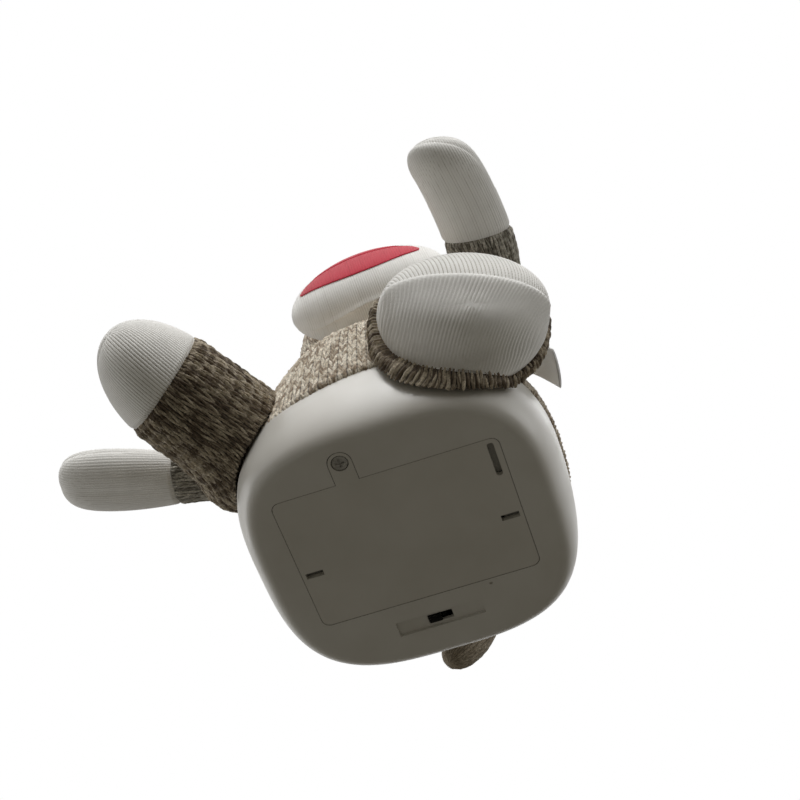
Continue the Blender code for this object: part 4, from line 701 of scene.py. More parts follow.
FINISHES = {
    "heather_knit": MarledYarn("marled_wool_yarn", "#efe6d6", "#c6b8a2", "#8d7b67", "#2f2820", 0.55),
    # copies of the same yarn: darker and browner on the legs, darker, duller and flatter on the tail, both as painted
    # shade where they hang in shade; greyer on the arms
    "legs": MarledYarn("marled_wool_yarn_painted_shade_legs", "#cfc3ae", "#958671", "#5c4f41", "#1a1510", 0.45),
    "arms": MarledYarn("marled_wool_yarn_grey", "#d0cbc0", "#a19c90", "#716c62", "#35312c"),
    "tail": MarledYarn("marled_wool_yarn_painted_shade_tail", "#b5a997", "#a49885", "#918573", "#6b6054"),
    "white_knit": RibbedPolyester(),
    # red brushed jersey, the same cloth dyed, with a dark red as the painted shade in its grooves
    "red_cloth": RibbedPolyester("red_polyester_jersey", "#cc2840", "#7c1222", 0.8),
    "white_satin": SatinRibbon(),
    # general purpose ABS, polished tool: clean white with soft highlights
    "white_shell_plastic": MouldedPlastic("moulded_white_abs", "#d9d7d1", "#d2cfc8", 0.3, 0.15),
    "white_door_plastic": MouldedPlastic("moulded_white_abs_door", "#d6d3cc", "#cfccc4", 0.36, 0.14),
    # high-impact polystyrene: greyer and duller
    "grey_plastic": MouldedPlastic("moulded_grey_polystyrene", "#b9b8b3", "#acaaa5", 0.48, 0.15, ior=1.59),
    "black_plastic": MouldedPlastic("moulded_black_abs", "#1b1b1c", "#111112", 0.38, 0.2),
    # acetal: milky and waxy
    "gear_plastic": MouldedPlastic("moulded_natural_acetal", "#efece2", "#e4dfd1", 0.3, 0.1, ior=1.48),
    "wire_red": MouldedPlastic("extruded_red_pvc", "#b3201a", "#9c1a16", 0.42, 0.1),
    "wire_black": MouldedPlastic("extruded_black_pvc", "#191919", "#101010", 0.42, 0.1),
    # passivated zinc: a thin cloudy film scatters part of the light
    "steel": PlatedSteel("zinc_plated_steel", "#d2d0cb", 0.4, 0.5),
    "spring_steel": PlatedSteel("nickel_plated_spring_steel", "#cbc8c0", 0.25),
    "board_green": CoatedBoard("epoxy_board_with_solder_mask", "#1d5a34", "#3f8f57", 3.2 * MM, 0.35),
    # shrunk PVC film: even, dark and a little glossy
    "cell_wrap": MouldedPlastic("shrunk_pvc_sleeve", "#3a3e44", "#33373c", 0.25, 0.12),
    # polished phenolic button
    "eye_black": MouldedPlastic("polished_black_button", "#0b0b0c", "#060606", 0.06, 0.06, depth=0.002 * MM),
}


@dataclass
class Wardrobe:
    """Makes each material once and dresses pieces by the record's slot names."""

    made: dict[str, bpy.types.Material] = field(default_factory=dict)

    def material(self, finish: str) -> bpy.types.Material:
        """Material of a finish, made when first asked for."""
        if finish not in self.made:
            self.made[finish] = FINISHES[finish].material()
        return self.made[finish]

    def dress(
        self, piece: Piece, slot: str, body: str, node: str, yarn: Optional[str] = None
    ) -> None:
        """Dresses a new piece.

        Args:
            piece: the piece.
            slot: the record's slot of its finish.
            body: the body that it rides on.
            node: the CAD node that it stands for.
            yarn: copy of the yarn for a knit piece, darker on the legs and tail as painted shade, if not the body's.
        """
        piece.data.materials.append(self.material(yarn or slot))
        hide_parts(node)
        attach(piece, body)
        LOG.info("%s rides on %s: %d faces", piece.name, body, len(piece.data.polygons))

    def dress_nodes(self, frame: dict) -> None:
        """Gives every CAD node the material of its own slot.
        """
        for part in frame["record"]["subparts"]:
            for holder in frame["nodes"][part["node"]].material_slots:
                holder.material = self.material(part["material_slot"])


# ---------------------------------------------------------------- moulded base


def rounded_outline(low: Any, high: Any, radius: float, steps: int = 10) -> np.ndarray:
    """Plan of a rectangle with round corners, in order round it, seen from above.

    Args:
        low: least x and y.
        high: greatest x and y.
        radius: radius of its corners.
        steps: points on each corner.
    Returns:
        Points in the plane: each corner's centre plus radius times cosine and sine over a quarter turn.
    """
    quarter = np.linspace(0.0, np.pi / 2, steps)
    turn = np.concatenate([quarter + k * np.pi / 2 for k in range(4)])
    corner = np.repeat([(1, 1), (0, 1), (0, 0), (1, 0)], steps, 0)
    inner_low, inner_high = np.array(low) + radius, np.array(high) - radius
    centres = inner_low + corner * (inner_high - inner_low)
    return centres + radius * np.stack([np.cos(turn), np.sin(turn)], 1)


def carve(target: Piece, outline: np.ndarray, low: float, high: float, operation: str = "DIFFERENCE") -> None:
    """Cuts an upright block out of a piece, or joins it on.

    Args:
        target: the piece.
        outline: plan of the block, in metres.
        low: height of its lower face.
        high: height of its upper face.
        operation: what the boolean does.
    """
    rings = [np.concatenate([outline, np.full((len(outline), 1), z)], 1) for z in (low, high)]
    block = net_mesh("block", np.stack(rings))
    step = target.modifiers.new("carve", "BOOLEAN")
    step.operation, step.solver, step.object = operation, "EXACT", block
    graph = bpy.context.evaluated_depsgraph_get()
    carved = bpy.data.meshes.new_from_object(target.evaluated_get(graph))
    target.modifiers.clear()
    target.data = carved
    bpy.data.objects.remove(block, do_unlink=True)


@dataclass
class Base:
    """Moulded bowl that the toy sits on, with the openings in its flat bottom, in millimetres.

    flat is the bottom's share of the rim's plan, door and recess are least x and y and greatest x and y, tab
    is the middle and radius of the door's tab, and gate is the small pit that the moulding gate leaves.
    """

    half_width: float = 51.0
    half_depth: float = 47.5
    centre_y: float = -2.5
    rim: float = 27.0
    wall: float = 2.2
    flat: float = 0.84
    swell: float = 2.4
    plan_power: tuple[float, float] = (3.2, 2.5)
    door: tuple[float, float, float, float] = (-35.0, -29.5, 35.0, 17.5)
    door_corner: float = 2.5
    door_gap: float = 0.17
    tab: Triple = (-10.7, -36.3, 3.6)
    recess: tuple[float, float, float, float] = (-14.0, 24.0, 14.0, 29.5)
    recess_sink: float = 1.0
    slot: tuple[float, float] = (8.0, 3.1)
    gate: tuple[float, float, float, float] = (18.0, 18.9, 19.0, 19.9)
    posts: tuple = ((34.0, 27.5), (-34.0, 27.5), (20.0, -37.6), (-20.0, -37.6))
    post_radius: float = 3.2
    post_top: float = 24.3

    def plan(self, height: np.ndarray) -> tuple[np.ndarray, np.ndarray]:
        """Plan of the bowl at a height.

        Args:
            height: heights, in millimetres.
        Returns:
            Its share of the rim's plan, which is flat plus the rest times a superellipse's quarter, and its
            power, which goes from the bottom's to the rim's with the height.
        """
        rise = np.clip(height / self.rim, 0.0, 1.0)
        low, high = self.plan_power
        share = self.flat + (1 - self.flat) * (1 - (1 - rise) ** self.swell) ** (1 / self.swell)
        return share, low + (high - low) * rise

    def rings(self, heights: np.ndarray, inset: float, scale: Any = 1.0) -> Net:
        """Plans of the bowl at some heights.

        Args:
            heights: the heights, in millimetres.
            inset: how far the plans are drawn in.
            scale: size about the middle, for all or one each.
        Returns:
            The net, its points drawn finely and then evenly spaced.
        """
        share, power = self.plan(heights)
        wide, deep = (self.half_width * share - inset) * scale, (self.half_depth * share - inset) * scale
        return even_columns(level_net(0.0, self.centre_y, heights, wide, deep, power, 384), 208)

    def clear(self, points: np.ndarray, way: np.ndarray, margin: Any) -> np.ndarray:
        """Moves what lies inside the bowl out of it, as cloth laps over its rim.

        Args:
            points: places in metres.
            way: level unit vector to push along.
            margin: how far outside the wall they end, in millimetres.
        Returns:
            The places: one inside is pushed out by halving steps until its plan share is one, or up past
            the rim where that is nearer and short.
        """
        place = points / MM
        margin = np.broadcast_to(margin, place.shape[:-1])
        top = self.rim + 0.3 + np.minimum(margin, 1.0)
        furthest, halvings, short = 110.0, 18, 4.0

        def outside(step: np.ndarray) -> np.ndarray:
            """Whether each place, moved by a step, is outside the wall's plan at its height."""
            moved = place + step[..., None] * way
            share, power = self.plan(moved[..., 2])
            x = np.abs(moved[..., 0]) / (self.half_width * share + margin)
            y = np.abs(moved[..., 1] - self.centre_y) / (self.half_depth * share + margin)
            return x**power + y**power >= 1

        inside = ~outside(np.zeros(margin.shape)) & (place[..., 2] < top)
        near, far = np.zeros(margin.shape), np.full(margin.shape, furthest)
        for _ in range(halvings):
            middle = (near + far) / 2
            out = outside(middle)
            near, far = np.where(out, near, middle), np.where(out, middle, far)
        up = np.maximum(top - place[..., 2], 0.0)
        forward = inside & ((far <= up) | (up > short))
        place = place + np.where(forward, far, 0.0)[..., None] * way
        place[..., 2] += np.where(inside & ~forward, up, 0.0)
        return place * MM

    def bowl(self) -> Piece:
        """Moulds bottom, wall, rim and inner face as one closed net, its rows closer where the wall curves."""
        disc = np.array([0.05, 0.2, 0.4, 0.6, 0.8, 0.93])
        level = np.zeros(len(disc))
        rise = self.rim * np.linspace(0.0, 1.0, 26) ** 1.9
        depth = self.rim - self.wall
        hollow = depth * np.linspace(1.0, 0.0, 16) ** 1.9
        outer = self.rings(rise, 0.0)
        inner = self.rings(self.rim * hollow / depth, self.wall)
        inner[..., 2] = self.wall + hollow[:, None]
        floor = self.rings(level, self.wall, disc[::-1])
        floor[..., 2] = self.wall
        outer = refine(outer, 46, outer.shape[1])
        net = np.concatenate([self.rings(level, 0.0, disc), outer, inner, floor]) * MM
        middle = self.centre_y * MM * Y
        return net_mesh("base_bowl", net, (middle, middle + self.wall * MM * Z))

    def build(self, wardrobe: Wardrobe) -> None:
        """Moulds the shell, then its posts and openings.

        Args:
            wardrobe: dresses it.
        """
        piece = self.bowl()
        radius = self.post_radius
        for post in self.posts:
            ring = rounded_outline(np.array(post) - radius, np.array(post) + radius, radius) * MM
            carve(piece, ring, 0.9 * self.wall * MM, self.post_top * MM, "UNION")
        x, y, radius = self.tab
        gap = self.door_gap
        left, front, right, back = self.door
        over = self.wall + 0.6
        slot_x, slot_y = self.slot[0] / 2, self.slot[1] / 2
        switch_y = (self.recess[1] + self.recess[3]) / 2
        cuts = (
            ((left - gap, front - gap), (right + gap, back + 1.6 * gap), self.door_corner + gap, over),
            ((x - radius - gap, y - radius - gap), (x + radius + gap, front + 9.0), radius, over),
            (self.recess[:2], self.recess[2:], 0.3, self.recess_sink),
            ((-slot_x, switch_y - slot_y), (slot_x, switch_y + slot_y), 0.3, over),
            (self.gate[:2], self.gate[2:], 0.5, 0.6),
        )
        for low, high, corner, top in cuts:
            carve(piece, rounded_outline(low, high, corner) * MM, -0.6 * MM, top * MM)
        piece.data.set_sharp_from_angle(angle=math.radians(38.0))
        wardrobe.dress(piece, "white_shell_plastic", "base", "base_shell")


# ---------------------------------------------------------------- limbs


@dataclass(frozen=True)
class Welt:
    """Raised seam across a stuffed end, with a hollow beside it.

    The seam's height above the limb's middle plane is level plus slant times side plus curve times side
    squared, in millimetres; it shows beyond the start share of the end, and lean and fan turn and crowd the
    ribs of the panel below it, which are pitch apart.
    """

    level: float
    slant: float
    curve: float
    ridge: float
    hollow: float
    start: float
    lean: float = 0.0
    fan: float = 0.0
    pitch: float = 1.0

    def line(self, side: np.ndarray) -> np.ndarray:
        """Height of the seam at a distance across the limb, in metres."""
        across = side / MM
        return (self.level + self.slant * across + self.curve * across**2) * MM


@dataclass
class Limb:
    """Knit leg or arm with its white ribbed end, along one bowed line from the joint to the tip.

    wide and narrow are the full half sizes and ball and root those at the joint, all in millimetres; start,
    full and seam are shares of the length; seam_tilt and seam_turn lean the seam and turn the ribs about it;
    drape, flank and belly say how the cloth hangs, how the knit's sides and the corner under the near one
    swell at the seam, and how the end's sides do.
    """

    name: str
    end_name: str
    joint: Triple
    tip: Triple
    wide_way: Triple
    wide: float
    narrow: float
    ball: float
    bow: float
    side_bow: float
    start: float
    full: float
    taper: float
    seam: float
    knit: Stockinette
    jersey: RibbedJersey = RibbedJersey()
    seam_tilt: tuple[float, float] = (0.0, 0.0)
    seam_turn: float = 0.0
    root: Optional[Triple] = None
    drape: tuple = ((-1.0, 0.0, 0.0, 1.1), (1.0, 0.0, 0.0, 0.3))
    flank: Triple = (0.0, 0.0, 0.0)
    belly: tuple[float, float] = (0.0, 0.0)
    # the legs take a darker copy of the yarn, painted shade
    yarn: str = "legs"
    welt: Optional[Welt] = None
    COLUMNS: ClassVar[int] = 32
    UNDER_TURN: ClassVar[float] = 1.28 * math.pi

    def axes(self) -> tuple[np.ndarray, np.ndarray, np.ndarray, float]:
        """Unit vectors along, across the wide side and across the narrow side, and the length."""
        reach = (np.array(self.tip) - np.array(self.joint)) * MM
        along = unit(reach)
        across = unit(np.array(self.wide_way) - along * np.dot(self.wide_way, along))
        return along, across, np.cross(along, across), float(np.linalg.norm(reach))

    def level_way(self) -> np.ndarray:
        """Level unit vector from the joint towards the tip."""
        return unit((np.array(self.tip) - np.array(self.joint)) * (X + Y))

    def root_sizes(self) -> Triple:
        """Half sizes of the root and its shift across the narrow side: the joint's ball, if not its own."""
        return self.root or (self.ball, self.ball, 0.0)

    def seam_shares(self) -> np.ndarray:
        """Share of the length at which the seam lies in each column: tilted by cosine and sine of the turn."""
        wide, thin = self.seam_tilt
        turn = turns(self.COLUMNS)
        return self.seam + (wide * np.cos(turn) + thin * np.sin(turn)) * MM / self.axes()[3]

    def draped(self, past: np.ndarray, column: int) -> np.ndarray:
        """Column 1, 2 or 3 of the drape at a distance past the seam: forward, drop or margin, in metres and mm."""
        table = np.array(self.drape).T
        return np.interp(past / MM, table[0], table[column])

    def net(self, shares: np.ndarray) -> Net:
        """Coarse net of the sections at given shares of the length.

        Args:
            shares: places along the limb, 0 at the joint and 1 at the tip, one row each and a column each.
        Returns:
            The net: the centre is joint plus along times length times share, plus half a sine wave of the
            bows; a half size goes from the root's to its full one by a quarter sine wave up to the full
            share, and beyond it is size times the root of 1 - past to the taper's power. The lower side
            then moves forward and down as the drape says, by the sine of the turn.
        """
        along, across, thin, length = self.axes()
        shares = np.broadcast_to(shares, (len(shares), self.COLUMNS))[..., None]
        root_wide, root_narrow, shift = self.root_sizes()
        wave = np.sin(np.pi * shares) * MM
        rise = np.sin((np.clip(shares, self.start, self.full) - self.start) / (self.full - self.start) * np.pi / 2)
        centres = np.array(self.joint) * MM + along * length * shares
        centres = centres + thin * (self.bow * wave + shift * MM * (1 - rise)) + across * self.side_bow * wave
        past = np.clip((shares - self.full) / (1 - self.full), 0.0, 1.0)
        scale = np.sqrt(1 - past**self.taper) * MM
        wide = (root_wide + (self.wide - root_wide) * rise) * scale
        narrow = (root_narrow + (self.narrow - root_narrow) * rise) * scale
        turn = turns(self.COLUMNS)[None, :, None]
        net = centres + across * wide * np.cos(turn) + thin * narrow * np.sin(turn)
        from_seam = (shares[..., 0] - self.seam_shares()) * length
        low = np.clip(-np.sin(turn), 0.0, 1.0) ** 1.3 * MM
        net = net + self.level_way() * low * self.draped(from_seam, 1)[..., None]
        return net - Z * low * self.draped(from_seam, 2)[..., None]

    def root_net(self) -> tuple[Net, np.ndarray]:
        """Three rings of the root behind the joint, and the pole that closes it."""
        along, across, thin, _ = self.axes()
        wide, narrow, shift = self.root_sizes()
        turn = np.radians([-62.0, -35.0, -8.0])
        middle = (np.array(self.joint) + thin * shift) * MM
        centres = middle + along * self.ball * MM * np.sin(turn)[:, None]
        half = np.cos(turn) * MM
        net = oval_net(centres, across, thin, half * wide, half * narrow, columns=self.COLUMNS)
        return net, middle - along * self.ball * MM

    def knit_form(self, base: Base, fine: Net) -> Net:
        """Shapes the knit's end: slight gathers at the seam and fuller flanks, and clears the bowl.

        Args:
            base: the bowl.
            fine: fine net of the knit.
        Returns:
            The net: each flank, and the corner under the near one, swells by its own size times the bell
            curve of the distance from the seam.
        """
        lengths = row_lengths(fine)
        left = (lengths[-1] - lengths)[:, None]
        turn = turns(fine.shape[1])[None]
        near, far, under = self.flank
        side = np.cos(turn)
        gathers = 0.2 * np.cos(11 * turn + 0.6 * np.sin(3 * turn)) * np.exp(-left / (5 * MM))
        lap = far * np.clip(side, 0, 1) ** 3 + near * np.clip(-side, 0, 1) ** 3
        lap = lap + under * np.clip(np.cos(turn - self.UNDER_TURN), 0, 1) ** 8
        lap = lap * bell(left, 15 * MM) * (1 - 0.45 * bell(left, 2.2 * MM))
        fine = lifted_net(fine, (gathers - 0.5 * bell(left, 0.8 * MM) + lap) * MM)
        return base.clear(fine, self.level_way(), self.draped(-left, 3))

    def knit_piece(self, base: Base, wardrobe: Wardrobe) -> None:
        """Knits the upper part, from the root ball to the seam.

        Args:
            base: the bowl that it laps over.
            wardrobe: dresses it.
        """
        root, pole = self.root_net()
        part = np.linspace(0.0, 1.0, 12)[:, None]
        net = np.concatenate([root, self.net(self.start + (self.seam_shares() - self.start) * part)])
        poles = (pole, net[-1].mean(0))
        net = swell(net, (0, 1, 2, 3, -1), 1.0 * MM, poles)
        wales = int(round(ring_lengths(net)[-2:, -1].mean() / self.knit.wale))
        name = self.name.replace("_sock", "_knit")
        piece = self.knit.raise_on(name, net, wales, poles, partial(self.knit_form, base))
        wardrobe.dress(piece, "heather_knit", self.body(), self.name, yarn=self.yarn)

    def end_piece(self, base: Base, wardrobe: Wardrobe) -> None:
        """Sews the white end: ribs at even distances from the middle of each panel, a welt where panels meet.

        Args:
            base: the bowl that it clears.
            wardrobe: dresses it.
        """
        jersey = self.jersey
        seam = self.seam_shares()
        part = np.append(np.sin(np.linspace(0.0, np.pi / 2, 12)[:-1]), 0.9985)[:, None]
        net = self.net(seam + (1 - seam) * part)
        tip = np.array(self.tip) * MM
        net = swell(net, (0,), 0.8 * MM, (net[0].mean(0), tip))
        girth, total = ring_lengths(net)[:, -1].max(), row_lengths(net)[-1]
        fine = refine(net, int(round(total / jersey.row_step)), int(round(girth / jersey.pitch)) * jersey.rib_steps)
        around = ring_lengths(fine)
        half = around[:, -1:] / 2
        rib = ((around[:, :-1] + half * self.seam_turn) % half) - half / 2
        along = row_lengths(fine)[:, None]
        height = jersey.heights(rib / jersey.pitch, along)
        front, back = self.belly
        side = np.cos(turns(fine.shape[1]))[None]
        stuffed = (front * np.clip(side, 0, 1) + back * np.clip(-side, 0, 1)) * np.sin(np.pi * along / total)
        ridge = -0.3 * MM * bell(half / 2 - np.abs(rib), 0.7 * MM) * (along > total * 0.35)
        if self.welt is not None:
            height, raised = self.panels(height, fine - tip, along / total)
            ridge = raised if self.welt.fan else ridge + raised
        lift = jersey.lift(height) + (stuffed - 0.6 * bell(along, 0.9 * MM)) * MM + ridge
        lifted = base.clear(lifted_net(fine, lift), self.level_way(), self.draped(along, 3))
        piece = net_mesh(self.end_name + "_jersey", lifted, relief=jersey.shade(height))
        wardrobe.dress(piece, "white_knit", self.body(), self.end_name)

    def panels(self, height: np.ndarray, offset: np.ndarray, part: np.ndarray) -> tuple[np.ndarray, np.ndarray]:
        """Two panels that meet in a welt across the end.

        Args:
            height: the ribs of the upper panel.
            offset: place from the tip.
            part: share of the way from the knit's seam to the tip.
        Returns:
            The ribs and the welt's lift. Below it the ribs run straight down the panel, leaning and
            crowding towards one side; the panel's edge rolls up in a ridge, and under it a hollow fades out.
        """
        welt = self.welt
        _, across, thin, _ = self.axes()
        side = offset @ across
        above = offset @ thin - welt.line(side)
        below = np.clip(-above, 0.0, None) / MM
        if welt.fan:
            lean = welt.lean + 0.006 * side / MM
            place = side - lean * above
            number = (place + welt.fan * np.clip(place, 0, None) ** 2 / (2 * self.wide * MM)) / (welt.pitch * MM)
            share = ramp(-above, 0.2 * MM)
            panel = self.jersey.heights(number, above, 0.08 + 0.3 * np.exp(-below / 3.5))
            height = height * (1 - share) + (0.45 + 0.55 * panel) * share
        step = ramp(-above, 0.12 * MM)
        roll = welt.ridge * (1 - 0.8 * bell(below, 1.5)) * bell(below, 5.0)
        hollow = welt.hollow * (1 - bell(below, 7.0))
        groove = 0.3 * welt.ridge * np.exp(-np.clip(above, 0, None) / (1.5 * MM))
        return height, ramp(part - welt.start, 0.03) * MM * (step * (roll - hollow) - (1 - step) * groove)

    def body(self) -> str:
        """Name of the body that the limb rides on."""
        return self.name.removesuffix("_sock")


LEG = {
    "start": 0.06, "full": 0.42, "taper": 2.6, "ball": 11.0, "side_bow": 0.0,
    "knit": Stockinette(wale=2.7 * MM, course=3.3 * MM, slope=1.3, depth=1.5 * MM, course_steps=8),
}
ARM = {
    "start": 0.05, "full": 0.6, "taper": 9.0, "ball": 7.4, "yarn": "arms",
    "knit": Stockinette(wale=2.2 * MM, course=2.4 * MM, depth=0.7 * MM, seed=11),
    "jersey": RibbedJersey(pitch=0.86 * MM, depth=0.14 * MM, bead=0.3, groove_shade_share=0.7),
}
# distance past the seam, forward, drop and margin from the bowl, in millimetres: from the deck over the
# rim, down the wall to a roll that hangs near the table, and up again into the sole
LAP = (
    (-22.0, 3.0, 4.0, 0.8), (-17.0, 9.0, 8.3, 0.7), (-13.5, 13.0, 6.6, 0.6), (-11.0, 13.0, 11.5, 0.6),
    (-8.0, 9.0, 18.7, 0.7), (-4.5, 6.0, 24.0, 1.8), (-2.0, 5.0, 21.5, 2.8), (0.0, 4.0, 17.0, 3.0),
    (6.0, 2.0, 12.0, 3.0), (14.0, 0.0, 6.0, 1.0), (24.0, 0.0, 1.5, 0.3), (34.0, 0.0, 0.0, 0.3),
)


def limbs() -> list[Limb]:
    """The four limbs, in millimetres as the frame has them."""
    sole = RibbedJersey(pitch=1.25 * MM, depth=0.34 * MM, bead=0.38, groove_shade_share=0.9)
    return [
        Limb("right_leg_sock", "right_toe", (-40.0, -27.0, 40.0), (-67.5, -84.0, 31.0), (0.4, -0.05, -0.92),
             wide=23.3, narrow=17.7, bow=-1.4, seam=0.635, seam_tilt=(6.0, 1.2), seam_turn=0.5,
             root=(20.5, 20.0, -2.5), **LEG),
        Limb("left_leg_sock", "left_toe", (26.0, -25.0, 47.0), (40.0, -66.0, 13.0), (0.96, 0.27, 0.0),
             wide=26.4, narrow=18.4, bow=11.0, seam=0.45, drape=LAP, flank=(3.2, 1.2, 5.5), jersey=sole,
             welt=Welt(11.4, -0.14, 0.0, 1.5, 0.6, 0.3, 0.46, 0.4, 1.25), **(LEG | {"taper": 2.9})),
        Limb("right_arm_sock", "right_hand", (-36.0, -2.0, 68.0), (-124.0, -18.0, 80.0), (-0.18, 1.0, 0.0),
             wide=9.8, narrow=7.4, bow=2.0, side_bow=0.2, belly=(1.7, 2.6), seam=0.51,
             welt=Welt(0.0, 0.0, 0.0, 0.35, 0.25, 0.55), **ARM),
        Limb("left_arm_sock", "left_hand", (34.0, -8.0, 67.0), (41.0, -97.0, 74.0), (1.0, 0.07, 0.0),
             wide=11.2, narrow=7.6, bow=1.0, side_bow=8.0, seam=0.62,
             welt=Welt(-3.0, -0.33, 0.027, 0.8, 0.1, 0.6), **ARM),
    ]


# ---------------------------------------------------------------- body, head and tail


@dataclass
class Torso:
    """Knit body that widens from the neck to a hem over the bowl's rim.

    courses are rise, width, depth and lean of each section as shares of the body's own sizes, and sags are
    the turn in degrees, the spread and the drop of each place where the hem hangs lower.
    """

    half_width: float = 51.2 * MM
    half_depth: float = 48.3 * MM
    centre_y: float = -2.5 * MM
    neck_y: float = -8.0 * MM
    bottom: float = 27.3 * MM
    top: float = 78.6 * MM
    courses: tuple = (
        (0.0, 0.965, 0.965, 0.0), (0.021, 0.996, 0.996, 0.0), (0.131, 1.0, 1.0, 0.055), (0.326, 0.946, 0.975, 0.273),
        (0.52, 0.878, 0.944, 0.545), (0.676, 0.792, 0.892, 0.782), (0.813, 0.685, 0.768, 1.0), (0.91, 0.56, 0.622, 1.0),
        (0.979, 0.386, 0.436, 1.0), (1.0, 0.251, 0.29, 1.0),
    )
    sags: tuple = ((236.0, 30.0, 7.0), (305.0, 24.0, 2.5))
    sag_reach: float = 13 * MM
    wales: int = 100
    knit: Stockinette = Stockinette(depth=1.15 * MM, wale_steps=9, seed=7)

    def net(self) -> Net:
        """Coarse net: superellipses at the courses, whose hem sags by a bell curve of the turn, less further up."""
        rise, width, depth, lean = np.array(self.courses).T
        middle = self.centre_y + (self.neck_y - self.centre_y) * lean
        height = self.bottom + (self.top - self.bottom) * rise
        wide, deep = self.half_width * width, self.half_depth * depth
        net = even_columns(level_net(0.0, middle, height, wide, deep, 2.4 - 0.4 * rise, 96), 64)
        turn = np.degrees(np.arctan2(net[..., 1] - self.centre_y, net[..., 0])) % 360
        fade = np.exp(-(net[..., 2] - self.bottom) / self.sag_reach)
        for place, spread, drop in self.sags:
            net[..., 2] -= drop * MM * fade * bell(turn - place, spread)
        return net

    @staticmethod
    def hem(fine: Net) -> Net:
        """Rolls the hem: a bell curve of the distance from it stands out, and its very edge is drawn in."""
        left = row_lengths(fine)[:, None]
        lift = 0.5 * bell(left - 2.2 * MM, 1.6 * MM) - 0.5 * bell(left, 0.7 * MM)
        return lifted_net(fine, lift * MM)

    def build(self, wardrobe: Wardrobe) -> None:
        """Knits the body and turns its hem in under the lowest course.

        Args:
            wardrobe: dresses it.
        """
        net = swell(refine(self.net(), 22, 64), (0, 1, -1), 1.0 * MM)
        piece = self.knit.raise_on("body_knit", net, self.wales, form=self.hem)
        wardrobe.dress(piece, "heather_knit", "base", "body_sock")


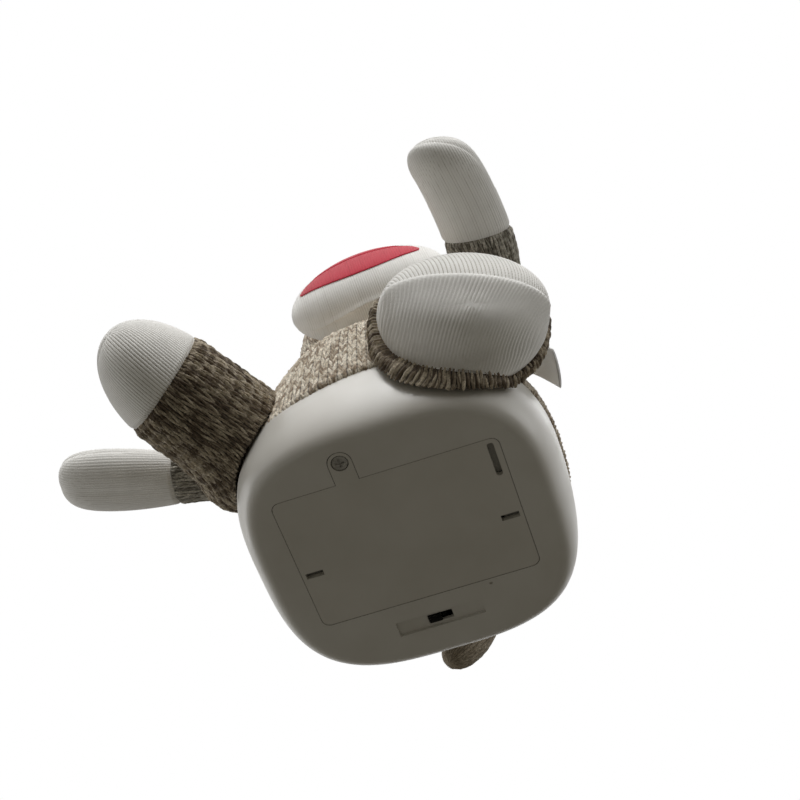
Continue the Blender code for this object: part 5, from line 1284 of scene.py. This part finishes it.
@dataclass
class Head:
    """Round knit head with a white crown, ribbed muzzle, red lips, button eyes and ears, in millimetres.

    fold is the polynomial of the muzzle's fold, its turn by the distance across; lips_side and lips_turn are
    the lips' middle and half size, across as a share of the muzzle and round it as a turn.
    """

    centre: Triple = (2.0, -8.0, 114.0)
    half: Triple = (37.0, 34.0, 35.0)
    neck_radius: float = 10.0
    neck: tuple[float, float] = (73.0, 80.4)
    crown_line: float = 136.0
    crown_gap: float = 0.15
    muzzle_centre: Triple = (3.0, -44.0, 98.0)
    muzzle_half: Triple = (29.0, 14.0, 19.0)
    fold: Triple = (4.435, -0.0035, 0.0006)
    lips_side: tuple[float, float] = (-0.03, 0.78)
    lips_turn: tuple[float, float] = (math.radians(179.5), math.radians(28.0))
    lips_rib: float = 0.9
    tilt: float = math.radians(7.0)
    eye_spacing: float = 25.0
    eye_height: float = 124.5
    eye_half: Triple = (4.6, 3.2, 4.6)
    ear_out: float = 44.5
    ear_back: float = 4.0
    ear_height: float = 115.0
    ear_half: Triple = (12.0, 4.5, 12.0)
    ear_hollow: float = 3.0
    wales: int = 72
    knit: Stockinette = Stockinette(wale_steps=7, course_steps=5, seed=5)
    ear_knit: Stockinette = Stockinette(wale=2.6 * MM, course=2.2 * MM, depth=0.6 * MM, seed=13)
    jersey: RibbedJersey = RibbedJersey()
    fine_jersey: RibbedJersey = RibbedJersey(pitch=0.8 * MM, depth=0.12 * MM, groove_shade_share=0.6)

    def share(self, height: Any) -> Any:
        """Half width share of the ellipsoid at a height: the root of 1 - (rise / half height) squared."""
        return np.sqrt(np.clip(1 - ((height - self.centre[2]) / self.half[2]) ** 2, 0.0, 1.0))

    def turn_at(self, height: float) -> float:
        """Turn of the ellipsoid at a height: the arc sine of rise over half height."""
        return math.asin((height - self.centre[2]) / self.half[2])

    def rings(self, heights: np.ndarray, wide: np.ndarray, deep: np.ndarray) -> Net:
        """Level ellipses round the head's own axis, their sizes in millimetres."""
        return level_net(self.centre[0], self.centre[1], heights, wide, deep) * MM

    def dome(self, first: float, last: float, rows: int, least: float = 0.0) -> Net:
        """Level ellipses of the head's ellipsoid.

        Args:
            first: turn of the lowest one.
            last: turn of the highest one.
            rows: how many there are.
            least: least half size.
        Returns:
            The net, at even turns: height by their sine and size by their cosine.
        """
        heights = self.centre[2] + self.half[2] * np.sin(np.linspace(first, last, rows))
        wide, deep, _ = (np.maximum(half * self.share(heights), least) for half in self.half)
        return self.rings(heights, wide, deep)

    @staticmethod
    def sewn(away: np.ndarray) -> np.ndarray:
        """Lift that draws a piece in at a seam, by a bell curve of the distance from it."""
        return -0.9 * MM * bell(away, 1.2 * MM)

    def sock_seam(self, fine: Net) -> Net:
        """Draws the knit in at the crown line."""
        lengths = row_lengths(fine)
        return lifted_net(fine, self.sewn(lengths[-1] - lengths)[:, None])

    def sock(self, wardrobe: Wardrobe) -> None:
        """Knit part: the neck's three rings, then ellipses at even turns up to the crown line.

        Args:
            wardrobe: dresses it.
        """
        neck = np.array([self.neck[0], self.neck[0] + 3.0, self.neck[1] - 1.0])
        radius = np.full(len(neck), self.neck_radius)
        last = self.turn_at(self.crown_line - self.crown_gap)
        dome = self.dome(self.turn_at(self.neck[1] + 4.0), last, 20, 12.0)
        net = swell(np.concatenate([self.rings(neck, radius, radius), dome]), (0, 1, 2, -1), 1.2 * MM)
        piece = self.knit.raise_on("head_knit", net, self.wales, form=self.sock_seam)
        wardrobe.dress(piece, "heather_knit", "head", "head_sock")

    def crown(self, wardrobe: Wardrobe) -> None:
        """White top of the head: ribs at even distances either side of the middle, front to back.

        Args:
            wardrobe: dresses it.
        """
        net = self.dome(self.turn_at(self.crown_line + self.crown_gap), math.pi / 2 - 0.03, 14)
        low = net[0].mean(0)
        net = swell(net, (0,), 1.0 * MM, (low, (np.array(self.centre) + self.half[2] * Z) * MM))
        jersey = self.jersey
        girth = ring_lengths(net)[0, -1]
        rows, ribs = int(row_lengths(net)[-1] / jersey.row_step), int(girth / jersey.pitch)
        fine = refine(net, rows, ribs * 3)
        side = fine[..., 0] - self.centre[0] * MM
        height = jersey.heights(side / jersey.pitch, fine[..., 1])
        lifted = lifted_net(fine, jersey.lift(height) + self.sewn(row_lengths(fine))[:, None])
        piece = net_mesh("crown_jersey", lifted, (low, lifted[-1].mean(0)), relief=height)
        wardrobe.dress(piece, "white_knit", "head", "crown_cap")

    @staticmethod
    def tilted(tilt: float) -> np.ndarray:
        """Unit vectors to the left, back and up, the first and last tilted about the middle one."""
        cosine, sine = math.cos(tilt), math.sin(tilt)
        return np.array([cosine * X + sine * Z, Y, cosine * Z - sine * X])

    def pod(self, centre: Triple, half: Triple, tilt: float, rows: int, columns: int) -> Net:
        """Net of an ellipsoid whose poles lie along X, turned about the front to back axis.

        Args:
            centre: its middle, in millimetres.
            half: its half sizes.
            tilt: turn that lifts its +X end.
            rows: rings from pole to pole.
            columns: points round each ring.
        Returns:
            The net: x is minus half width times the cosine of the turn, a ring's size is its sine.
        """
        turn = np.linspace(0.06, math.pi - 0.06, rows)
        x, y, z = self.tilted(tilt)
        centres = np.array(centre) * MM - x * half[0] * MM * np.cos(turn)[:, None]
        size = np.sin(turn) * MM
        return oval_net(centres, y, z, half[1] * size, half[2] * size, columns=columns)

    def pressed(self, side: np.ndarray, turn: np.ndarray) -> np.ndarray:
        """How far the stitched lips flatten the muzzle, in millimetres: a bell curve of the turn about them."""
        return 1.8 * np.clip(1 - side**2, 0, 1) * bell(turn - self.lips_turn[0], 0.6)

    def muzzle(self, wardrobe: Wardrobe) -> None:
        """White muzzle: ribs upright across it, and a fold along its lower side.

        The fold's turn is a polynomial of the distance across: above it the cloth swells, and then it dips.

        Args:
            wardrobe: dresses it.
        """
        jersey, columns, radius = self.fine_jersey, 200, 17.0
        net = swell(self.pod(self.muzzle_centre, self.muzzle_half, self.tilt, 26, 36), (0, -1), 0.5 * MM)
        fine = refine(net, int(2 * self.muzzle_half[0] * MM / jersey.pitch * 6), columns)
        side = (fine - np.array(self.muzzle_centre) * MM) @ self.tilted(self.tilt)[0]
        turn = turns(columns)[None]
        height = jersey.heights(side / jersey.pitch, turn * 14 * MM)
        across = side / MM
        away = (turn - (self.fold[0] + self.fold[1] * across + self.fold[2] * across**2)) * radius
        crease = 0.75 * np.where(away < 0, bell(away, 1.6), bell(away, 0.3))
        past = np.clip(away, 0, None)
        crease = crease - 0.35 * (1 - np.exp(-past / 0.4)) * np.exp(-past / 2.0)
        crease = crease * bell(across, 25.0, 6) * bell(away, 14.0, 4)
        lift = jersey.lift(height) + MM * (crease - self.pressed(across / self.muzzle_half[0], turn))
        piece = net_mesh("muzzle_jersey", lifted_net(fine, lift), relief=jersey.shade(height))
        wardrobe.dress(piece, "white_knit", "head", "muzzle")

    def lips(self, wardrobe: Wardrobe) -> None:
        """Red lips: a pointed patch sewn on the muzzle, with a closed mouth line pressed into it.

        Rows run from corner to corner and columns round the patch's section. A place across the patch is the
        cosine of the column's turn times the patch's half turn, which is the root of 1 - share squared; it
        stands off the muzzle's ellipsoid by the sine to a low power, and its back lies inside the muzzle.

        Args:
            wardrobe: dresses it.
        """
        rows, columns = 300, 120
        share = np.sin(np.linspace(-1.0, 1.0, rows) * math.pi / 2 * 0.995)[:, None]
        turn = turns(columns)[None]
        half = np.sqrt(1 - share**2) * (1 - 0.12 * share**2)
        side = self.lips_side[0] + self.lips_side[1] * share
        spin = self.lips_turn[0] + self.lips_turn[1] * half * np.cos(turn)
        ring = np.sqrt(1 - side**2)
        sphere = np.stack(np.broadcast_arrays(side, ring * np.cos(spin), ring * np.sin(spin)), -1)
        axes, size = self.tilted(self.tilt), np.array(self.muzzle_half)
        place, out = np.array(self.muzzle_centre) + sphere * size @ axes, unit(sphere / size @ axes)
        jersey = self.fine_jersey
        height = jersey.heights(side * size[0] / self.lips_rib, spin * 16 * MM)
        outer = np.sin(turn) < 0
        raised = np.where(outer, 0.3 + 0.3 * half**0.5 * np.abs(np.sin(turn)) ** 0.45, 0.3 - 2.0 * np.sin(turn))
        mouth = bell(np.cos(turn) * half + 0.55, 0.06) * np.minimum(1, 3 * half)
        raised = raised + (0.1 * (height - jersey.middle) - 0.7 * mouth) * outer - self.pressed(side, spin)
        net = (place + out * raised[..., None])[:, ::-1] * MM
        piece = net_mesh("lips_jersey", net, relief=jersey.shade(height[:, ::-1]))
        wardrobe.dress(piece, "red_cloth", "head", "lips")

    def eye(self, side: Side, wardrobe: Wardrobe) -> None:
        """Button eye: a dome with a thin rolled rim, on the front of the head.

        Args:
            side: which eye.
            wardrobe: dresses it.
        """
        name = f"{side.name.lower()}_eye"
        out = side.value * self.eye_spacing / 2
        share = float(self.share(self.eye_height))
        front = self.centre[1] - self.half[1] * share * math.sqrt(1 - (out / self.half[0] / share) ** 2)
        turn = np.linspace(0.04, 1.0, 24)
        radius = self.eye_half[0] * np.sin(turn * math.pi * 0.62)
        ahead = self.eye_half[1] * np.cos(turn * math.pi * 0.62) - 0.35 * bell(turn - 0.72, 0.05)
        centres = np.array((self.centre[0] + out, front, self.eye_height)) - Y * ahead[:, None]
        net = oval_net(centres, Z, X, radius, radius, columns=40) * MM
        low, high = end_middles(net)
        piece = net_mesh(name + "_button", net, (low - 0.03 * MM * Y, high))
        wardrobe.dress(piece, "eye_black", "head", name)

    def ear(self, side: Side, wardrobe: Wardrobe) -> None:
        """Flat round knit ear, hollowed a little in front.

        Args:
            side: which ear.
            wardrobe: dresses it.
        """
        name = f"{side.name.lower()}_ear"
        centre = (self.centre[0] + side.value * self.ear_out, self.centre[1] + self.ear_back, self.ear_height)
        net = self.pod(centre, self.ear_half, 0.0, 18, 32)
        place = (net - np.array(centre) * MM) / (np.array(self.ear_half) * MM)
        hollow = np.clip(-place[..., 1], 0, 1) * bell(np.hypot(place[..., 0], place[..., 2]), 0.6)
        net[..., 1] += self.ear_hollow * MM * hollow
        piece = self.ear_knit.raise_on(name + "_knit", net, 20)
        wardrobe.dress(piece, "heather_knit", "head", name)

    def build(self, wardrobe: Wardrobe) -> None:
        """Builds the head's pieces.

        Args:
            wardrobe: dresses them.
        """
        self.sock(wardrobe)
        self.crown(wardrobe)
        self.muzzle(wardrobe)
        self.lips(wardrobe)
        for side in Side:
            self.eye(side, wardrobe)
            self.ear(side, wardrobe)


@dataclass
class Tail:
    """Stuffed knit tail that hangs close behind the base, in millimetres.

    shares are its route's places, as shares of the reach from the root.
    """

    root: Triple = (8.0, 43.0, 36.0)
    reach: Triple = (-12.0, 12.0, -25.5)
    shares: tuple = (
        (0.0, 0.0, 0.0), (-0.05, 0.62, 0.02), (0.06, 1.0, 0.24), (0.39, 1.0, 0.55), (0.78, 0.88, 0.82),
        (1.0, 0.79, 1.0),
    )
    radius: float = 6.5
    knit: Stockinette = Stockinette(wale=2.9 * MM, course=2.4 * MM, depth=0.4 * MM, seed=17)

    def build(self, wardrobe: Wardrobe) -> None:
        """Knits the tail: a tube along the route, its radius rising from the root and falling to the tip.

        Args:
            wardrobe: dresses it.
        """
        knots = (np.array(self.root) + np.array(self.shares) * np.array(self.reach)) * MM
        route = read_rows(knots, np.linspace(0, len(knots) - 1, 22))
        step = unit(np.gradient(route, axis=0))
        side = unit(np.cross(step, X))
        share = np.linspace(0, 1, len(route))
        girth = np.where(share < 0.5, 0.8 + 0.2 * np.sin(np.pi * share), 1 - 0.55 * np.clip(2 * share - 1, 0, 1) ** 3)
        half = self.radius * girth * MM
        net = oval_net(route, np.cross(side, step), side, half, half, columns=24)
        poles = (route[0], route[-1] + step[-1] * self.radius * 0.225 * MM)
        net = swell(net, (0,), 0.6 * MM, poles)
        piece = self.knit.raise_on("tail_knit", net, 15, poles)
        # the tail takes a darker, duller copy of the yarn, painted shade
        wardrobe.dress(piece, "heather_knit", "tail", "tail_sock", yarn="tail")


@dataclass
class CareLabel:
    """Blank satin label, folded once and sewn into the body's side seam, its end hanging down."""

    width: float = 13.7
    length: float = 30.0
    root: Triple = (39.0, -22.4, 63.5)
    bend: Triple = (48.5, -22.4, 62.0)
    end: Triple = (57.2, -22.6, 41.6)
    thick: float = 0.3

    def build(self, wardrobe: Wardrobe) -> None:
        """Ribbon of two plies along a quadratic curve through root, bend and end; its end bows out a little.

        Args:
            wardrobe: dresses it.
        """
        share = np.linspace(0.0, 1.0, 60)[:, None]
        root, bend, end = (np.array(v) for v in (self.root, self.bend, self.end))
        centres = root * (1 - share) ** 2 + 2 * bend * share * (1 - share) + end * share**2
        step = unit(2 * (bend - root) * (1 - share) + 2 * (end - bend) * share)
        up = np.cross(step, Y)
        half = np.full(len(share), self.width / 2)
        ply = self.thick * (1 + 0.9 * np.sin(np.pi * share[:, 0]))
        net = oval_net(centres, Y, -up, half, ply, 5.0, 80)
        across = (net - centres[:, None]) @ Y / (self.width / 2)
        wave = 0.7 * np.sin(share * math.pi * 1.5) * across
        bow = 1.4 * (1 - across**2) * share**6
        net = (net + up[:, None] * wave[..., None] + step[:, None] * bow[..., None]) * MM
        piece = net_mesh("care_ribbon", net)
        wardrobe.dress(piece, "white_satin", "base", "care_label")


# ---------------------------------------------------------------- studio


@dataclass
class Studio:
    """Camera at the photograph's place, soft lamps above, and a pale floor that is seen only from above.

    A lamp is its name, place, size and watts: the key is above the monkey's front, the rest fill and light
    the rims.
    """

    eye: Triple = (55.8, -217.1, -324.4)
    right: Triple = (0.947, 0.318, -0.037)
    up: Triple = (0.298, -0.832, 0.468)
    lens: float = 58.5
    aim: Triple = (0.0, -0.02, 0.06)
    ambient: float = 0.125
    floor_half: float = 3.0
    floor_drop: float = 0.5 * MM
    lamps: tuple = (
        ("key", (0.2, -0.78, 0.6), 0.6, 5.2),
        ("high", (-0.05, -0.6, 0.85), 0.6, 2.4),
        ("fill", (-0.25, -0.85, 0.32), 0.6, 0.6),
        ("top", (0.1, 0.15, 0.85), 0.7, 1.9),
        ("left", (0.85, -0.1, 0.25), 0.6, 1.7),
        ("right", (-0.9, 0.1, 0.1), 0.6, 2.4),
    )

    @staticmethod
    def stand(made: Piece, place: Any, x: np.ndarray, y: np.ndarray) -> None:
        """Puts a camera or a lamp in its place.

        Args:
            made: the camera or the lamp.
            place: where it stands, in metres.
            x: its own right.
            y: its own up.
        """
        turn = Matrix(np.stack([x, y, np.cross(x, y)], 1).tolist())
        made.matrix_world = Matrix.Translation(place) @ turn.to_4x4()

    def camera(self) -> None:
        """Places the camera from its own axes."""
        data = bpy.data.cameras.new("camera")
        data.lens = self.lens
        data.clip_start = 0.01
        made = new_object("camera", data)
        x = unit(np.array(self.right))
        self.stand(made, [v * MM for v in self.eye], x, unit(np.array(self.up) - x * np.dot(self.up, x)))
        bpy.context.scene.camera = made

    def light(self) -> None:
        """Adds the area lamps, each turned to the toy's middle, and the world: white to the eye, weak as light."""
        for name, place, size, power in self.lamps:
            data = bpy.data.lights.new(name, "AREA")
            data.energy, data.size = power, size
            away = unit(np.array(place) - np.array(self.aim))
            level = unit(np.cross(Z, away))
            self.stand(new_object(name, data), place, level, np.cross(away, level))
        world = bpy.data.worlds.new("studio")
        add = empty_tree(world)
        seen = add("LightPath")
        shown = add("Math", (seen["Is Camera Ray"], seen["Is Glossy Ray"]), operation="MAXIMUM")[0]
        shown = add("Math", (shown, seen["Is Transmission Ray"]), operation="MAXIMUM")[0]
        strength = add("MapRange", (shown, 0.0, 1.0, self.ambient, 1.0))[0]
        tint = add("Mix", {0: shown, 6: linear("#fff8e6"), 7: linear("#ffffff")}, data_type="RGBA")[2]
        glow = add("Background", {"Color": tint, "Strength": strength})[0]
        add("OutputWorld", {"Surface": glow})
        bpy.context.scene.world = world

    def floor(self) -> None:
        """Pale floor just under the base: its lower side and its part in soft light are left clear."""
        half = self.floor_half
        mesh = bpy.data.meshes.new("floor")
        corners = [(x * half, y * half, -self.floor_drop) for x, y in ((-1, -1), (1, -1), (1, 1), (-1, 1))]
        mesh.from_pydata(corners, [], [(0, 1, 2, 3)])
        paper = bpy.data.materials.new("white_card")
        add = empty_tree(paper)
        seen = add("LightPath")
        back = add("NewGeometry")["Backfacing"]
        clear = add("Math", (seen["Is Shadow Ray"], back), operation="MAXIMUM")[0]
        clear = add("Math", (seen["Is Diffuse Ray"], clear), operation="MAXIMUM")[0]
        card = add("BsdfDiffuse", {"Color": linear("#f4f3f1")})[0]
        mixed = add("MixShader", (clear, card, add("BsdfTransparent")[0]))[0]
        add("OutputMaterial", {"Surface": mixed})
        mesh.materials.append(paper)
        new_object("floor", mesh)


def main() -> None:
    """Builds every piece on the frame and reports it."""
    logging.basicConfig(level=logging.INFO, format="%(message)s")
    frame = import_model()
    studio = Studio()
    studio.camera()
    studio.light()
    studio.floor()
    wardrobe = Wardrobe()
    wardrobe.dress_nodes(frame)
    base = Base()
    base.build(wardrobe)
    Torso().build(wardrobe)
    for limb in limbs():
        limb.knit_piece(base, wardrobe)
        limb.end_piece(base, wardrobe)
    for part in (Head(), Tail(), CareLabel()):
        part.build(wardrobe)
    bpy.context.scene.view_settings.view_transform = "Standard"


if __name__ == "__main__":
    main()
